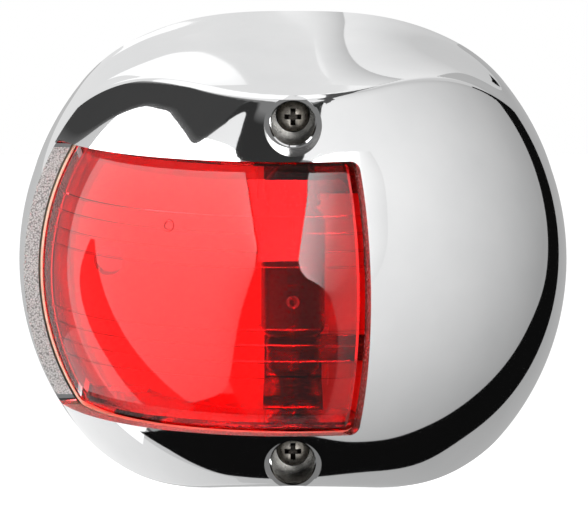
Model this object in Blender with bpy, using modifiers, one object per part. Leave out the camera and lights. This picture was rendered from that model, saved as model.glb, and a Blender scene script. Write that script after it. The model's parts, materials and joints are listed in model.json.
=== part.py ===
"""Port navigation light for a boat: a polished housing over a red sector lens, a festoon bulb and a base.

The frame: X to the right, Y into the wall, Z up, metres. The origin is the middle of the face that lies
against the wall, so the front of the light is at negative Y. Inside the functions, lengths are in
millimetres, and depth means the distance in front of the wall, which is minus Y.
"""

import math

import bmesh
import bpy
import numpy as np
from mathutils import Vector

MM = 0.001
GAP = 0.3  # running gap between neighbouring pieces
SIDES = (("top", 1), ("bottom", -1))
FLANKS = (("right", 1), ("left", -1))

# Housing: a dome of revolution about Y, cut above and below by two sloping roofs.
DOME_RADIUS = 40.2
DOME_START = 1.5
DOME_FRONT = 42.0
DOME_POWER = 2.15
ROOF_TOP = 36.4
ROOF_SLOPE = 0.275
ROOF_ARCH = 6.6e-4
ROOF_ARCH_POWER = 2.8
ROOF_ARCH_END = 28.0
ROOF_ARCH_FADE = 2.7
CREASE_BLEND = 0.6
HOUSING_REAR = 0.5
WALL = 2.0

# Where the roof meets the dome near the wall, its sides bend down a little less.
CORNER_FULLNESS = 0.11
CORNER_DEPTH = 5.0
CORNER_REACH = 4.0

# Window: a sector seen from the bulb's axis, from 22.5 degrees to the right round to the left side.
WINDOW_HALF_HEIGHT = 19.2
WINDOW_LEFT_DEPTH = 14.0
WINDOW_RIGHT_ANGLE = math.radians(22.5)
WINDOW_CORNER = 1.2
BULB_DEPTH = 15.0

# Cover screws and the bosses that take them.
SCREW_Z = 23.9
BOSS_RADIUS = 4.0
BOSS_FACE = 33.3
BOSS_END = 20.5
BOSS_FOOT_RADIUS = 4.5
BOSS_FOOT_INSET = 1.0
BORE_RADIUS = 2.75
BORE_CHAMFER = 0.5
BORE_SEAT = 23.0
SCREW_HEAD_RADIUS = 2.3
SCREW_HEAD_TOP = 26.0
SCREW_HEAD_HEIGHT = 1.7
SCREW_CROWN = 1.1
SCREW_SHANK_RADIUS = 1.25
SCREW_TIP = 8.4
SCREW_TIP_RADIUS = 0.7
SCREW_HOLE_RADIUS = 1.6
CROSS_REACH = 1.35
CROSS_HALF_WIDTH = 0.32
CROSS_DEPTH = 1.1
O_RING_RADIUS = 2.05
O_RING_WIRE = 0.35
O_RING_DEPTH = 23.65

# Lens and its seal, measured inwards from the housing's outside.
LENS_PAD_INSET = 2.5
LENS_FLANGE_INSET = 3.6
LENS_INNER_INSET = 5.4
LENS_LEDGE_INSETS = (5.0, 11.5)
LENS_LEDGE_Z = (17.5, 19.3)
LENS_HALF_HEIGHT = 21.4
LENS_LEFT_DEPTH = 10.5
LENS_RIGHT_MARGIN = 3.6
LENS_CORNER = 0.8
SEAL_INSETS = (2.3, 3.3)
SEAL_RIGHT_MARGIN = 3.2

# Base, gaskets and cable inlet.
RIM_INSET = WALL + 1.5 * GAP
GASKET_THICKNESS = 1.2
GASKET_HOLE_RADIUS = 2.6
GASKET_INLET_RADIUS = 5.6
RING_DEPTHS = (4.8, 6.8)
BASE_REAR = 1.5
BASE_PLATE_FRONT = 4.5
BASE_FLOOR = 4.7
BASE_SKIRT_FRONT = 8.0
BASE_INSET = 2.5
SKIRT_INSETS = (4.6, 6.9)
PILLAR_RADIUS = 3.9
PILLAR_FRONT = 20.2
INSERT_RADIUS = 2.3
INSERT_DEPTHS = (11.8, 19.9)
PEDESTAL_HALF_WIDTH = 5.2
PEDESTAL_FRONT = 7.0
MOUNT_HOLE_X = 27.0
MOUNT_HOLE_RADIUS = 2.2
INLET_X = 15.5
INLET_RADIUS = 4.3
GROMMET_FLANGE_RADIUS = 5.2
GROMMET_FLANGE = 1.2
GROMMET_BORE = 2.2

# Electrical pieces.
STRIP_THICKNESS = 0.6
STRIP_HALF_WIDTH = 4.2
STRIP_Z = (10.4, 17.2)
STRIP_FRONT = 20.5
LIP_REACH = 1.2
LIP_LENGTH = 1.8
ARM_Z = (10.4, 14.4)
RIVET_Z = 12.4
RIVET_HOLE_RADIUS = 1.2
RIVET_RADII = (1.8, 0.9)
RIVET_CROWN = 0.8
TERMINAL_X = 17.0
TERMINAL_Z = 12.4
TERMINAL_PAD_RADIUS = 3.8
TERMINAL_HOLE_RADIUS = 1.5
TERMINAL_SCREW_RADII = (2.6, 1.2)
TERMINAL_SCREW_HEIGHT = 1.9
TERMINAL_CROWN = 0.6
TERMINAL_SLOT = (0.4, 0.8)
CLAMP_HALF_SIDE = 3.0
CLAMP_THICKNESS = 0.8
PIN_END = 3.4
TIP_HOLE_RADIUS = 1.5
CAP_RADIUS = 3.9
CAP_WALL = 0.4
CAP_Z = (9.8, 13.6)
CAP_TIP_Z = 17.9
CAP_TIP_RADIUS = 1.15
CAP_TIP_LENGTH = 1.6
CAP_TIP_CROWN = 0.5
GLASS_RADIUS = 4.6
GLASS_WALL = 0.5
COIL_TURNS = 5
COIL_HALF_LENGTH = 4.0
COIL_RADIUS = 0.7
COIL_WIRE = 0.16
COIL_POINTS = 6  # points in each turn

# Resolution of the round shapes.
DOME_STEPS = 60
DOME_LEVELS = 12
INNER_STEPS = 40
INNER_LEVELS = 9
ROUND_STEPS = 20
SMALL_STEPS = 14
CROWN_STEPS = 3
SMOOTH_ANGLE = math.radians(32.0)

# Where lofts and cutters end. They differ, so that no two of their end faces share a plane.
LENS_REAR = 4.0
LEDGE_REAR = 2.0
HOLLOW_REAR = -3.0
CORE_REAR = -4.0
BETWEEN_REAR = -6.0
NOTCH_REAR = 5.0
FAR = 60.0
SECTOR_FAR = 70.0


def clear_scene():
    for obj in list(bpy.data.objects):
        bpy.data.objects.remove(obj)


def make_collection(name):
    collection = bpy.data.collections.new(name)
    bpy.context.scene.collection.children.link(collection)
    return collection


def make_material(name, colour, roughness, metallic=0.0, transmission=0.0):
    material = bpy.data.materials.new(name)
    material.use_nodes = True
    shader = material.node_tree.nodes["Principled BSDF"]
    shader.inputs["Base Color"].default_value = (*colour, 1.0)
    shader.inputs["Roughness"].default_value = roughness
    shader.inputs["Metallic"].default_value = metallic
    shader.inputs["Transmission Weight"].default_value = transmission
    return material


clear_scene()
PARTS = make_collection("navigation_light")
HELPERS = make_collection("cutters")
MATERIALS = {
    "steel": make_material("polished_steel", (0.80, 0.80, 0.81), 0.06, 1.0),
    "screw": make_material("screw_steel", (0.55, 0.53, 0.50), 0.25, 1.0),
    "lens": make_material("red_lens", (0.75, 0.01, 0.02), 0.05, 0.0, 0.9),
    "base": make_material("white_plastic", (0.80, 0.78, 0.72), 0.4),
    "rubber": make_material("black_rubber", (0.02, 0.02, 0.02), 0.8),
    "seal": make_material("cream_silicone", (0.62, 0.52, 0.38), 0.6),
    "brass": make_material("brass", (0.72, 0.52, 0.22), 0.3, 1.0),
    "nickel": make_material("nickel_plate", (0.60, 0.57, 0.52), 0.25, 1.0),
    "glass": make_material("bulb_glass", (0.95, 0.95, 0.95), 0.02, 0.0, 1.0),
    "filament": make_material("tungsten", (0.25, 0.24, 0.23), 0.4, 1.0),
}


def place(x, depth, z):
    """A point in metres from millimetres to the right, in front of the wall and up."""
    return Vector((x, -depth, z)) * MM


def add_object(name, mesh, material=None):
    """Links a mesh as a part, or as a hidden helper when it has no material."""
    obj = bpy.data.objects.new(name, mesh)
    if material is None:
        HELPERS.objects.link(obj)
        obj.hide_render = True
        obj.display_type = "WIRE"
        return obj
    PARTS.objects.link(obj)
    mesh.materials.append(MATERIALS[material])
    return obj


def mesh_from(bm, name):
    bm.normal_update()
    bmesh.ops.recalc_face_normals(bm, faces=bm.faces)
    mesh = bpy.data.meshes.new(name)
    bm.to_mesh(mesh)
    bm.free()
    return mesh


def add_boolean(obj, other, operation):
    """EXACT is the default solver. The housing and the base need MANIFOLD, which leaves them closed."""
    modifier = obj.modifiers.new(other.name, "BOOLEAN")
    modifier.object = other
    modifier.operation = operation
    modifier.solver = "MANIFOLD" if obj.name in ("housing", "base") else "EXACT"


def cut(obj, *others):
    for other in others:
        add_boolean(obj, other, "DIFFERENCE")


def join(obj, *others):
    for other in others:
        add_boolean(obj, other, "UNION")


def keep_inside(obj, other):
    add_boolean(obj, other, "INTERSECT")


def smooth(obj):
    obj.data.shade_smooth()
    obj.data.set_sharp_from_angle(angle=SMOOTH_ANGLE)


def dome_radius(depth, inset=0.0):
    """Radius of the dome's section at this depth, moved inwards by the inset."""
    length = DOME_FRONT - DOME_START - inset
    share = min(max((depth - DOME_START) / length, 0.0), 1.0)
    return (DOME_RADIUS - inset) * (1.0 - share**DOME_POWER) ** (1.0 / DOME_POWER)


def roof_arch(depth):
    """How strongly the roof bends down towards its sides at this depth."""
    flatter = 1.0 - min(max(depth, 0.0) / ROOF_ARCH_END, 1.0) ** ROOF_ARCH_FADE
    near_corner = math.exp(-(((depth - CORNER_DEPTH) / CORNER_REACH) ** 2))
    return ROOF_ARCH * flatter * (1.0 - CORNER_FULLNESS * near_corner)


def roof_radius(angles, depth, inset):
    """Distance from the Y axis to the roof along each angle, by Newton's method."""
    top = ROOF_TOP - inset - ROOF_SLOPE * depth
    up = np.abs(np.sin(angles))
    across = np.abs(np.cos(angles))
    arch = roof_arch(depth)
    radius = np.full_like(angles, DOME_FRONT)
    for _ in range(12):
        bend = arch * (radius * across) ** ROOF_ARCH_POWER
        slope = up + ROOF_ARCH_POWER * bend / radius + 1e-3
        radius = np.clip(radius - (radius * up + bend - top) / slope, 5.0, 200.0)
    return radius


def soft_min(a, b, blend):
    share = np.clip(0.5 + 0.5 * (b - a) / blend, 0.0, 1.0)
    return b + (a - b) * share - blend * share * (1.0 - share)


def section(depth, inset, steps):
    """Points (x, z) of the housing's outline at this depth, moved inwards by the inset."""
    angles = np.linspace(0.0, 2.0 * math.pi, steps, endpoint=False)
    dome = np.full(steps, dome_radius(depth, inset))
    blend = CREASE_BLEND * min(1.0, dome[0] / 10.0) + 1e-6
    radii = soft_min(dome, roof_radius(angles, depth, inset), blend)
    return list(zip(radii * np.cos(angles), radii * np.sin(angles)))


def dome_depths(inset, levels, rear):
    """Depths of the sections, closer together where the dome turns towards its front."""
    turns = np.linspace(0.0, math.pi / 2.0, levels, endpoint=False)
    length = DOME_FRONT - DOME_START - inset
    depths = [DOME_START + length * math.sin(t) ** (2.0 / DOME_POWER) for t in turns]
    return [rear] + [depth for depth in depths if depth > rear + GAP]


def add_form(name, inset, rear, material=None, steps=INNER_STEPS, levels=INNER_LEVELS):
    """A closed solid of the housing's outer shape, moved inwards by the inset: a loft of its sections."""
    bm = bmesh.new()
    rings = []
    for depth in dome_depths(inset, levels, rear):
        points = section(depth, inset, steps)
        rings.append([bm.verts.new(place(x, depth, z)) for x, z in points])
    pole = bm.verts.new(place(0.0, DOME_FRONT - inset, 0.0))
    for lower, upper in zip(rings, rings[1:]):
        for i in range(steps):
            j = (i + 1) % steps
            bm.faces.new((lower[i], lower[j], upper[j], upper[i]))
    for i in range(steps):
        bm.faces.new((rings[-1][i], rings[-1][(i + 1) % steps], pole))
    bm.faces.new(rings[0])
    return add_object(name, mesh_from(bm, name), material)


def add_prism(name, corners, offset, material=None):
    """A closed solid: a flat outline of points, swept by the offset."""
    bm = bmesh.new()
    face = bm.faces.new([bm.verts.new(corner) for corner in corners])
    swept = bmesh.ops.extrude_face_region(bm, geom=[face])
    moved = [item for item in swept["geom"] if isinstance(item, bmesh.types.BMVert)]
    bmesh.ops.translate(bm, verts=moved, vec=offset)
    return add_object(name, mesh_from(bm, name), material)


def add_outline(name, inset, start, end, level=None, material=None):
    """A plate between two depths, with the housing's outline at one level, moved inwards."""
    points = section(end if level is None else level, inset, INNER_STEPS)
    corners = [place(x, start, z) for x, z in points]
    return add_prism(name, corners, place(0.0, end - start, 0.0), material)


def add_box(name, low, high, material=None):
    """A box between two corners given as (x, depth, z)."""
    bm = bmesh.new()
    bmesh.ops.create_cube(bm, size=1.0)
    low, high = place(*low), place(*high)
    for vert in bm.verts:
        share = vert.co + Vector((0.5, 0.5, 0.5))
        vert.co = Vector([a + (b - a) * s for a, b, s in zip(low, high, share)])
    return add_object(name, mesh_from(bm, name), material)


def turned(name, profile, material=None, closed=False, steps=ROUND_STEPS, along="Y"):
    """A shape turned about its own axis, which lies along the depth or along Z.

    The profile is a list of (radius, height), in order down its outer side. A closed profile is a ring.
    """
    mesh = bpy.data.meshes.new(name)
    points = [(radius * MM, 0.0, height * MM) for radius, height in profile]
    edges = [(i, i + 1) for i in range(len(points) - 1)]
    if closed:
        edges.append((len(points) - 1, 0))
    mesh.from_pydata(points, edges, [])
    obj = add_object(name, mesh, material)
    screw = obj.modifiers.new("turn", "SCREW")
    screw.steps = steps
    screw.render_steps = steps
    screw.use_merge_vertices = True
    screw.merge_threshold = 1e-6
    screw.use_smooth_shade = False
    if along == "Y":
        obj.rotation_euler.x = math.pi / 2.0
    return obj


def crown(radius, top, height):
    """The profile of a rounded end, from the axis at its top out to its rim."""
    turns = np.linspace(0.0, math.pi / 2.0, CROWN_STEPS + 1)
    return [(radius * math.sin(t), top - height * (1.0 - math.cos(t))) for t in turns]


def stepped(name, x, z, profile, steps=ROUND_STEPS):
    """A helper along the depth, from a list of (radius, depth) that runs from its front to its back."""
    front, back = profile[0][1], profile[-1][1]
    obj = turned(name, [(0.0, front), *profile, (0.0, back)], steps=steps)
    obj.location = place(x, 0.0, z)
    return obj


def cylinder(name, x, z, radius, start, end, steps=ROUND_STEPS):
    """A round helper along the depth."""
    return stepped(name, x, z, [(radius, end), (radius, start)], steps)


def sector_prism(name, half_height, left_depth, right_margin, corner):
    """The space that the bulb lights through the window: a sector of the plan, between two heights."""
    lean = math.tan(WINDOW_RIGHT_ANGLE)
    plan = (
        (-SECTOR_FAR, left_depth),
        (-SECTOR_FAR, SECTOR_FAR),
        (right_margin + lean * (SECTOR_FAR - BULB_DEPTH), SECTOR_FAR),
        (right_margin, BULB_DEPTH),
        (right_margin - 1.0, left_depth),
    )
    corners = [place(x, depth, -half_height) for x, depth in plan]
    obj = add_prism(name, corners, place(0.0, 0.0, 2.0 * half_height))
    if corner > 0.0:
        bevel = obj.modifiers.new("corners", "BEVEL")
        bevel.width = corner * MM
        bevel.segments = 3
        bevel.limit_method = "ANGLE"
    return obj


def roof_wedge(name, side):
    """Everything above the top roof, or below the bottom one, near the screw bosses."""
    near, reach = 12.0, 2.0 * BOSS_RADIUS
    profile = (
        (near, ROOF_TOP - ROOF_SLOPE * near),
        (FAR, ROOF_TOP - ROOF_SLOPE * FAR),
        (FAR, FAR),
        (near, FAR),
    )
    corners = [place(-reach, depth, side * z) for depth, z in profile]
    return add_prism(name, corners, place(2.0 * reach, 0.0, 0.0))


def make_boss(tag, side):
    """A screw boss of the housing: a round post whose outer side follows the roof."""
    boss = cylinder(f"boss_{tag}", 0.0, side * SCREW_Z, BOSS_RADIUS, BOSS_END, BOSS_FACE + 2.0)
    cut(boss, roof_wedge(f"roof_wedge_{tag}", side))
    return boss


def make_boss_foot(tag, side):
    """Joins the boss to the shell all round, where its faced end lies below the dome's surface."""
    foot = cylinder(f"boss_foot_{tag}", 0.0, side * SCREW_Z, BOSS_FOOT_RADIUS, BOSS_END + 0.5, FAR)
    keep_inside(foot, add_form(f"boss_foot_reach_{tag}", BOSS_FOOT_INSET, CORE_REAR))
    return foot


def make_housing():
    """The cast shell, with its window, and a boss above and below the window with a stepped bore."""
    housing = add_form("housing", 0.0, HOUSING_REAR, "steel", DOME_STEPS, DOME_LEVELS)
    cut(housing, add_form("housing_hollow", WALL, HOLLOW_REAR))
    cut(housing, sector_prism("window", WINDOW_HALF_HEIGHT, WINDOW_LEFT_DEPTH, 0.0, WINDOW_CORNER))
    facing_radius = BOSS_RADIUS + 0.2
    profile = [
        (facing_radius, FAR),
        (facing_radius, BOSS_FACE),
        (BORE_RADIUS + BORE_CHAMFER, BOSS_FACE),
        (BORE_RADIUS, BOSS_FACE - BORE_CHAMFER),
        (BORE_RADIUS, BORE_SEAT),
        (SCREW_HOLE_RADIUS, BORE_SEAT),
        (SCREW_HOLE_RADIUS, BOSS_END - 2.0),
    ]
    for tag, side in SIDES:
        join(housing, make_boss_foot(tag, side), make_boss(tag, side))
        cut(housing, stepped(f"bore_{tag}", 0.0, side * SCREW_Z, profile))
    smooth(housing)


def cut_boss_notches(obj):
    """Leaves room for the two screw bosses."""
    for tag, side in SIDES:
        name = f"{obj.name}_notch_{tag}"
        cut(obj, cylinder(name, 0.0, side * SCREW_Z, BOSS_FOOT_RADIUS + GAP, NOTCH_REAR, FAR))


def make_lens_ledges():
    """The two level ledges that stiffen the lens along its upper and lower edges."""
    outer, inner = LENS_LEDGE_INSETS
    low, high = LENS_LEDGE_Z
    ledges = add_form("lens_ledges", outer, LEDGE_REAR)
    cut(ledges, add_form("lens_core", inner, CORE_REAR))
    cut(ledges, add_box("lens_between", (-FAR, BETWEEN_REAR, -low), (FAR, FAR, low)))
    keep_inside(ledges, sector_prism("ledge_reach", high, LENS_LEFT_DEPTH, LENS_RIGHT_MARGIN, 0.0))
    return ledges


def make_lens():
    """The red moulding: a raised pad that fills the window, a flange behind its edges and two ledges."""
    lens = add_form("lens", LENS_PAD_INSET, LENS_REAR, "lens")
    half_height, left_depth = WINDOW_HALF_HEIGHT - 2.0 * GAP, WINDOW_LEFT_DEPTH + GAP
    keep_inside(lens, sector_prism("pad_reach", half_height, left_depth, -2.0 * GAP, WINDOW_CORNER))
    flange = add_form("lens_flange", LENS_FLANGE_INSET, LENS_REAR)
    reach = sector_prism("lens_reach", LENS_HALF_HEIGHT, LENS_LEFT_DEPTH, LENS_RIGHT_MARGIN, LENS_CORNER)
    keep_inside(flange, reach)
    join(lens, flange)
    cut(lens, add_form("lens_hollow", LENS_INNER_INSET, HOLLOW_REAR))
    join(lens, make_lens_ledges())
    cut_boss_notches(lens)
    smooth(lens)


def make_lens_seal():
    """A flat frame between the lens's flange and the edges of the window."""
    outer, inner = SEAL_INSETS
    seal = add_form("lens_seal", outer, LENS_REAR, "seal")
    half_height, left_depth = LENS_HALF_HEIGHT - GAP, LENS_LEFT_DEPTH + GAP
    keep_inside(seal, sector_prism("seal_reach", half_height, left_depth, SEAL_RIGHT_MARGIN, LENS_CORNER))
    cut(seal, add_form("seal_hollow", inner, HOLLOW_REAR))
    half_height = WINDOW_HALF_HEIGHT - GAP
    cut(seal, sector_prism("seal_opening", half_height, WINDOW_LEFT_DEPTH, -GAP, WINDOW_CORNER))
    cut_boss_notches(seal)
    smooth(seal)


def make_wall_gasket():
    gasket = add_outline("wall_gasket", RIM_INSET, 0.0, GASKET_THICKNESS, material="rubber")
    front = GASKET_THICKNESS + 2.0
    for tag, side in FLANKS:
        hole = cylinder(f"gasket_hole_{tag}", side * MOUNT_HOLE_X, 0.0, GASKET_HOLE_RADIUS, -1.0, front)
        cut(gasket, hole)
    cut(gasket, cylinder("gasket_inlet", INLET_X, 0.0, GASKET_INLET_RADIUS, -1.0, front))


def make_housing_gasket():
    back, front = RING_DEPTHS
    ring = add_outline("housing_gasket", RIM_INSET, back, front, material="rubber")
    hollow_inset = SKIRT_INSETS[0] - GAP
    cut(ring, add_outline("ring_hollow", hollow_inset, back - 2.0, front + 2.0, BASE_SKIRT_FRONT))


def add_base_pads(base, tag, side):
    """One end's pillar for the cover screw, pedestal for the contact and round pad for the terminal."""
    join(base, cylinder(f"pillar_{tag}", 0.0, side * SCREW_Z, PILLAR_RADIUS, BASE_REAR + 1.5, PILLAR_FRONT))
    near, far = sorted((side * (STRIP_Z[0] - 1.0), side * (STRIP_Z[1] + 1.0)))
    back = (-PEDESTAL_HALF_WIDTH, BASE_REAR + 1.3, near)
    front = (PEDESTAL_HALF_WIDTH, PEDESTAL_FRONT, far)
    join(base, add_box(f"pedestal_{tag}", back, front))
    start, end = BASE_REAR + 1.7, PEDESTAL_FRONT - 0.1
    z = side * TERMINAL_Z
    join(base, cylinder(f"terminal_pad_{tag}", TERMINAL_X, z, TERMINAL_PAD_RADIUS, start, end))


def cut_base_holes(base, tag, side):
    """The same end's bores for the insert, the rivet and the terminal screw."""
    insert_radius = INSERT_RADIUS + GAP
    insert_back = INSERT_DEPTHS[0] - GAP
    profile = [
        (insert_radius, PILLAR_FRONT + 10.0),
        (insert_radius, insert_back),
        (SCREW_HOLE_RADIUS, insert_back),
        (SCREW_HOLE_RADIUS, SCREW_TIP - 1.0),
    ]
    cut(base, stepped(f"insert_bore_{tag}", 0.0, side * SCREW_Z, profile))
    start, end = PIN_END - 0.4, PEDESTAL_FRONT + 5.0
    rivet = cylinder(f"rivet_bore_{tag}", 0.0, side * RIVET_Z, RIVET_HOLE_RADIUS, start, end, SMALL_STEPS)
    cut(base, rivet)
    name, z = f"terminal_bore_{tag}", side * TERMINAL_Z
    cut(base, cylinder(name, TERMINAL_X, z, TERMINAL_HOLE_RADIUS, start, end, SMALL_STEPS))


def make_base():
    """A plate with a skirt, two pillars for the cover screws, and raised pads for the contacts."""
    base = add_outline("base", BASE_INSET, BASE_REAR, BASE_PLATE_FRONT, material="base")
    join(base, add_outline("base_skirt", SKIRT_INSETS[0], BASE_REAR + 1.0, BASE_SKIRT_FRONT))
    pocket_front = BASE_SKIRT_FRONT + 4.0
    cut(base, add_outline("base_pocket", SKIRT_INSETS[1], BASE_FLOOR, pocket_front, BASE_SKIRT_FRONT))
    for tag, side in SIDES:
        add_base_pads(base, tag, side)
        cut_base_holes(base, tag, side)
    for tag, side in FLANKS:
        cut(base, cylinder(f"mount_hole_{tag}", side * MOUNT_HOLE_X, 0.0, MOUNT_HOLE_RADIUS, 0.0, 10.0))
    cut(base, cylinder("base_inlet", INLET_X, 0.0, INLET_RADIUS, 0.0, 10.0))
    smooth(base)


def make_cross_recess(tag, side):
    """Two crossed slots, as a cutter for a cover screw's head."""
    z = side * SCREW_Z
    bottom, front = SCREW_HEAD_TOP - CROSS_DEPTH, SCREW_HEAD_TOP + 1.0
    long, short = CROSS_REACH, CROSS_HALF_WIDTH
    level = add_box(f"cross_{tag}", (-long, bottom, z - short), (long, front, z + short))
    join(level, add_box(f"cross_upright_{tag}", (-short, bottom, z - long), (short, front, z + long)))
    return level


def make_cover_screw(tag, side):
    seat = SCREW_HEAD_TOP - SCREW_HEAD_HEIGHT
    profile = [
        *crown(SCREW_HEAD_RADIUS, SCREW_HEAD_TOP, SCREW_CROWN),
        (SCREW_HEAD_RADIUS, seat),
        (SCREW_SHANK_RADIUS, seat),
        (SCREW_SHANK_RADIUS, SCREW_TIP + 0.6),
        (SCREW_TIP_RADIUS, SCREW_TIP),
        (0.0, SCREW_TIP),
    ]
    screw = turned(f"cover_screw_{tag}", profile, "screw")
    screw.location = place(0.0, 0.0, side * SCREW_Z)
    cut(screw, make_cross_recess(tag, side))


def make_cover_screw_seal(tag, side):
    """The O-ring under the screw's head."""
    turns = np.linspace(0.0, 2.0 * math.pi, 6, endpoint=False)
    wire = O_RING_WIRE
    loop = [(O_RING_RADIUS + wire * math.cos(t), O_RING_DEPTH - wire * math.sin(t)) for t in turns]
    seal = turned(f"cover_screw_seal_{tag}", loop, "rubber", closed=True)
    seal.location = place(0.0, 0.0, side * SCREW_Z)


def make_insert(tag, side):
    """The brass nut in the base's pillar that the cover screw enters."""
    inner, outer = SCREW_SHANK_RADIUS + GAP, INSERT_RADIUS
    back, front = INSERT_DEPTHS
    ring = [(outer, front), (outer, back), (inner, back), (inner, front)]
    insert = turned(f"insert_{tag}", ring, "brass", closed=True)
    insert.location = place(0.0, 0.0, side * SCREW_Z)


def make_contact(tag, side):
    """A stamped strip: a foot with an arm to its terminal, and a leaf with a hole for the bulb's tip."""
    foot, far = STRIP_Z
    near = far - STRIP_THICKNESS
    low = PEDESTAL_FRONT + GAP
    high = low + STRIP_THICKNESS
    profile = (
        (foot, low),
        (far, low),
        (far, STRIP_FRONT),
        (far + LIP_REACH, STRIP_FRONT + LIP_LENGTH - 0.4),
        (far + LIP_REACH - 0.4, STRIP_FRONT + LIP_LENGTH),
        (near, STRIP_FRONT + 0.3),
        (near, high),
        (foot, high),
    )
    corners = [place(-STRIP_HALF_WIDTH, depth, side * z) for z, depth in profile]
    contact = add_prism(f"contact_{tag}", corners, place(2.0 * STRIP_HALF_WIDTH, 0.0, 0.0), "nickel")
    low_z, high_z = sorted((side * ARM_Z[0], side * ARM_Z[1]))
    arm_end = TERMINAL_X + CLAMP_HALF_SIDE + 0.6
    join(contact, add_box(f"arm_{tag}", (STRIP_HALF_WIDTH - 1.0, low, low_z), (arm_end, high, high_z)))
    disc = [(0.0, 1.0), (TIP_HOLE_RADIUS, 1.0), (TIP_HOLE_RADIUS, -1.0), (0.0, -1.0)]
    tip_hole = turned(f"tip_hole_{tag}", disc, steps=SMALL_STEPS, along="Z")
    tip_hole.location = place(0.0, BULB_DEPTH, side * (far - STRIP_THICKNESS / 2.0))
    start, end = low - 1.0, high + 1.0
    name = f"rivet_hole_{tag}"
    rivet_hole = cylinder(name, 0.0, side * RIVET_Z, RIVET_HOLE_RADIUS, start, end, SMALL_STEPS)
    name, z = f"terminal_hole_{tag}", side * TERMINAL_Z
    screw_hole = cylinder(name, TERMINAL_X, z, TERMINAL_HOLE_RADIUS, start, end, SMALL_STEPS)
    cut(contact, tip_hole, rivet_hole, screw_hole)


def strip_front():
    """The depth where whatever lies on a contact strip starts."""
    return PEDESTAL_FRONT + 2.0 * GAP + STRIP_THICKNESS


def make_contact_rivet(tag, side):
    low = strip_front()
    head, pin = RIVET_RADII
    profile = [*crown(head, low + RIVET_CROWN, RIVET_CROWN), (pin, low), (pin, PIN_END), (0.0, PIN_END)]
    rivet = turned(f"contact_rivet_{tag}", profile, "brass", steps=SMALL_STEPS)
    rivet.location = place(0.0, 0.0, side * RIVET_Z)


def make_terminal(tag, side):
    """A square clamp plate on the contact's arm, and the screw that presses it on the wire."""
    low = strip_front()
    high = low + CLAMP_THICKNESS
    x, z, half = TERMINAL_X, side * TERMINAL_Z, CLAMP_HALF_SIDE
    clamp = add_box(f"terminal_clamp_{tag}", (x - half, low, z - half), (x + half, high, z + half), "brass")
    cut(clamp, cylinder(f"clamp_hole_{tag}", x, z, TERMINAL_HOLE_RADIUS, low - 1.0, high + 1.0, SMALL_STEPS))
    seat = high + GAP
    top = seat + TERMINAL_SCREW_HEIGHT
    head, pin = TERMINAL_SCREW_RADII
    profile = [
        *crown(head, top, TERMINAL_CROWN),
        (head, seat),
        (pin, seat),
        (pin, PIN_END),
        (0.0, PIN_END),
    ]
    screw = turned(f"terminal_screw_{tag}", profile, "screw", steps=SMALL_STEPS)
    screw.location = place(x, 0.0, z)
    half, deep = TERMINAL_SLOT
    reach = head + 1.0
    cut(screw, add_box(f"slot_{tag}", (x - reach, top - deep, z - half), (x + reach, top + 1.0, z + half)))


def make_bulb_cap(tag, side):
    """One metal end of the bulb: a cup over the glass neck, with a cone and a round tip."""
    inner = CAP_RADIUS - CAP_WALL
    low, high = CAP_Z
    profile = [
        *crown(CAP_TIP_RADIUS, CAP_TIP_Z, CAP_TIP_CROWN),
        (CAP_TIP_RADIUS, CAP_TIP_Z - CAP_TIP_LENGTH),
        (CAP_RADIUS, high),
        (CAP_RADIUS, low),
        (inner, low),
        (inner, high - CAP_WALL),
        (0.0, high - CAP_WALL),
    ]
    cap = turned(f"bulb_cap_{tag}", profile, "nickel", along="Z")
    cap.location = place(0.0, BULB_DEPTH, 0.0)
    if side < 0:
        cap.rotation_euler.x = math.pi


def make_bulb_envelope():
    """A glass tube with a narrower neck at each end, open inside the metal caps."""
    neck = CAP_RADIUS - CAP_WALL - GAP
    shoulder = CAP_Z[0] - GAP
    upper = [
        (neck, CAP_Z[1] - 1.0),
        (neck, shoulder),
        (GLASS_RADIUS - 0.4, shoulder - 0.6),
        (GLASS_RADIUS, shoulder - 1.4),
    ]
    outer = upper + [(radius, -height) for radius, height in reversed(upper)]
    inner = [(radius - GLASS_WALL, height) for radius, height in reversed(outer)]
    envelope = turned("bulb_envelope", outer + inner, "glass", closed=True, along="Z")
    envelope.location = place(0.0, BULB_DEPTH, 0.0)
    smooth(envelope)


def make_filament():
    """A coil on the bulb's axis with a straight lead wire at each end."""
    half, lead_end = COIL_HALF_LENGTH, CAP_Z[1] - 1.2
    count = COIL_TURNS * COIL_POINTS
    points = [(0.0, 0.0, lead_end), (0.0, 0.0, half + 0.6)]
    for i in range(count + 1):
        angle = 2.0 * math.pi * i / COIL_POINTS
        height = half - 2.0 * half * i / count
        points.append((COIL_RADIUS * math.cos(angle), COIL_RADIUS * math.sin(angle), height))
    points += [(0.0, 0.0, -half - 0.6), (0.0, 0.0, -lead_end)]
    curve = bpy.data.curves.new("bulb_filament", "CURVE")
    curve.dimensions = "3D"
    curve.bevel_depth = COIL_WIRE * MM
    curve.bevel_resolution = 1
    curve.use_fill_caps = True
    spline = curve.splines.new("POLY")
    spline.points.add(len(points) - 1)
    for point, (x, y, z) in zip(spline.points, points):
        point.co = (x * MM, y * MM, z * MM, 1.0)
    filament = add_object("bulb_filament", curve, "filament")
    filament.location = place(0.0, BULB_DEPTH, 0.0)


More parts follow.
